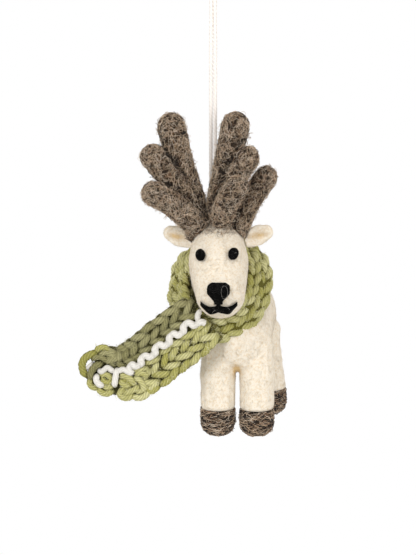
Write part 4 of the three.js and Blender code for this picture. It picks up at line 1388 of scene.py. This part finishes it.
class ORNAMENT_OT_collar(bpy.types.Operator):
    """The scarf's wrap about the neck"""

    bl_idname = "ornament.collar"
    bl_label = "Scarf collar"

    def execute(self, context):
        settings = context.scene.ornament_scarf
        yarns = yarn_materials(settings)
        light = Collar()
        outer, inner = self.knits(settings, light)
        white = Strands(**WHITE_PLIES)
        row = Collar(*WHITE_RING).ring(np.linspace(*WHITE_ARC, 60), np.zeros(60), np.zeros(60))
        white.add(*row, WHITE_RADII["wrap"])
        pieces = []
        parts = {"light": (outer, "knit"), "dark": (inner, "knit"), "white": (white, "yarn")}
        for shade, (strands, kind) in parts.items():
            piece = strands.piece(f"scarf_wrap_{shade}_{kind}", yarns[shade])
            pieces.append(fasten(piece, YARN_SLOTS[shade], f"scarf_wrap_{shade}"))
        fuzz = yarn_fuzz("scarf_wrap_fibres", pieces[0], "wrap", settings, "light", 73)
        fasten(fuzz, YARN_SLOTS["light"])
        span = (0, light.length)
        green = yarns["light"]
        back = ground("scarf_wrap_cloth", light, COLLAR_CLOTH, span, green, ring=True, steps=90)
        fasten(back, YARN_SLOTS["light"])
        return {"FINISHED"}

    def knits(self, settings, light):
        """The light knit in rows round the collar and one at its edge, and the dark knit."""
        rng = np.random.default_rng(51)
        fold_radius = COLLAR_RADIUS - FOLD_STEP * math.cos(COLLAR_SLANT)
        fold_height = COLLAR_HEIGHT - FOLD_STEP * math.sin(COLLAR_SLANT)
        dark = Collar(fold_radius, fold_height, FOLD_DEPTH)
        round_light, round_dark = (0, light.length), (0, dark.length)
        outer, inner = Strands(), Strands()
        rows = 4
        for row in range(rows):
            share, slant = (row + 0.5) / rows - 0.5, 0.75 if row % 2 else -0.75
            knit_row(outer, light, share, slant, settings, rng, round_light, 1, 0.1, row * 0.5)
        knit_row(outer, light, -0.5, 0.45, settings, rng, round_light, 1, -1.0, 0.25)
        rows = 3
        for row in range(rows):
            share, slant = (row + 0.5) / rows - 0.5, 1 if row % 2 else -1
            for face in (1, -1):
                knit_row(inner, dark, share, slant, settings, rng, round_dark, face, 0.2, row * 0.5)
        return outer, inner


class ORNAMENT_OT_tail(bpy.types.Operator):
    """The loose tail of the scarf"""

    bl_idname = "ornament.tail"
    bl_label = "Scarf tail"

    def execute(self, context):
        settings = context.scene.ornament_scarf
        rng = np.random.default_rng(61)
        yarns = yarn_materials(settings)
        tail = Tail()
        knits = self.knits(settings, tail, rng)
        white, bound = Strands(**WHITE_PLIES), Strands(turn=9.0)
        self.wave(white, tail)
        laid_yarn(white, tail, WAVE_TUCK, 1.1, 0.5, 0.5)
        bunches = {**knits, "white": white, "green": bound, "olive": knits["light"]}
        for shade, radius, height, places in END_YARNS:
            tone = {"green": 0.0, "olive": 0.1}.get(shade, rng.random())
            dim = 0.25 if shade == "green" else 0
            laid_yarn(bunches[shade], tail, places, radius, height, tone, dim)
        pieces = []
        for shade, kind in (("dark", "knit"), ("light", "knit"), ("white", "yarn")):
            piece = bunches[shade].piece(f"scarf_tail_{shade}_{kind}", yarns[shade])
            pieces.append(self.hung(piece, tail, shade, shade))
        loop = bound.piece("scarf_end_loop_yarn", yarns["light"])
        pieces.append(fasten(loop, YARN_SLOTS["light"], "scarf_end_loop", body="scarf_tail_far"))
        for name, (radius, places) in STITCHES.items():
            stitch = Strands(plies=6, turn=14.0, groove=0.1)
            laid_yarn(stitch, tail, places, radius, 1.3, 0.6)
            node = f"scarf_stitch_{name}"
            piece = stitch.piece(f"{node}_yarn", yarns["white"])
            pieces.append(fasten(piece, YARN_SLOTS["white"], node, body="scarf_tail_far"))
        for number, shade in enumerate(("dark", "light")):
            name = f"scarf_tail_{shade}_fibres"
            fuzz = yarn_fuzz(name, pieces[number], "tail", settings, shade, 71 + number)
            self.hung(fuzz, tail, shade)
        length = tail.length - TAIL_CLOTH_END
        cloth = ground("scarf_tail_cloth", tail, TAIL_CLOTH, (0.0, length), yarns["dark"])
        self.hung(cloth, tail, "dark")
        return {"FINISHED"}

    def knits(self, settings, tail, rng):
        """The rows of both bands, on the face and on the back."""
        made = {name: Strands() for name in TAIL_BANDS}
        top = TAIL_THICKNESS / 2 - settings.yarn / 2 + 0.25
        for name, (low, high, count, first, front_end, back_end) in TAIL_BANDS.items():
            for row in range(count):
                share = low + (high - low) * (row + 0.5) / count - 0.5
                slant = 1 if row % 2 else -1
                if abs(share) > 0.4:
                    slant *= 0.75
                start = first - (row % 2) * settings.course * 0.2
                for face, end in ((1, front_end), (-1, back_end)):
                    way = slant * face
                    knit_row(made[name], tail, share, way, settings, rng, (start, end), face, top)
        return made

    def wave(self, white, tail):
        """The white yarn that runs in waves over the face."""
        turns = [(start + u, v) for start in WAVE_STARTS for u, v in WAVE_TURN]
        line = smooth_line([*WAVE_HEAD, *turns, *WAVE_END], 230)
        line[:, 1] += np.interp(line[:, 0], (0, 4), (0.1, 0))
        rise = TAIL_THICKNESS / 2 + 0.5 + 0.45 * np.sin(line[:, 0] / WAVE_PITCH * 4 * np.pi)
        points, ups = tail.place(line[:, 0], line[:, 1], rise)
        white.add(points, ups, WHITE_RADII["tail"], tone=0.6)

    def hung(self, piece, tail, shade, band=None):
        """Bakes a piece into place, in place of both halves of a band, which it hides; it does not bend
        with the tail.
        """
        start, end = (tail.place(TAIL_BEND + reach, 0, 0)[0][0] * MM for reach in (-6, 6))
        if band:
            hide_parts(f"scarf_tail_near_{band}", f"scarf_tail_far_{band}")
        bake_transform(piece)
        return piece


class ORNAMENT_PT_steps(bpy.types.Panel):
    """The pieces of the ornament, in the order in which they are made"""

    bl_label = "Reindeer ornament"
    bl_idname = "ORNAMENT_PT_steps"
    bl_space_type = "VIEW_3D"
    bl_region_type = "UI"
    bl_category = "Ornament"

    def draw(self, context):
        for step in STEPS:
            self.layout.operator(step)
        for group in SETTINGS:
            settings = getattr(context.scene, group)
            for name in settings.__annotations__:
                self.layout.prop(settings, name)


SETTINGS = {
    "ornament_felt": FeltSettings,
    "ornament_scarf": ScarfSettings,
    "ornament_string": StringSettings,
    "ornament_stage": StageSettings,
}
OPERATORS = (
    ORNAMENT_OT_stage,
    ORNAMENT_OT_string,
    ORNAMENT_OT_body,
    ORNAMENT_OT_head,
    ORNAMENT_OT_antlers,
    ORNAMENT_OT_face,
    ORNAMENT_OT_collar,
    ORNAMENT_OT_tail,
)
STEPS = tuple(operator.bl_idname for operator in OPERATORS)


def register():
    for group in SETTINGS.values():
        bpy.utils.register_class(group)
    for name, group in SETTINGS.items():
        setattr(bpy.types.Scene, name, bpy.props.PointerProperty(type=group))
    for operator in (*OPERATORS, ORNAMENT_PT_steps):
        bpy.utils.register_class(operator)


def unregister():
    for operator in reversed((*OPERATORS, ORNAMENT_PT_steps)):
        bpy.utils.unregister_class(operator)
    for name, group in SETTINGS.items():
        delattr(bpy.types.Scene, name)
        bpy.utils.unregister_class(group)


def main():
    register()
    for step in STEPS:
        group, name = step.split(".")
        getattr(getattr(bpy.ops, group), name)()


if __name__ == "__main__":
    main()
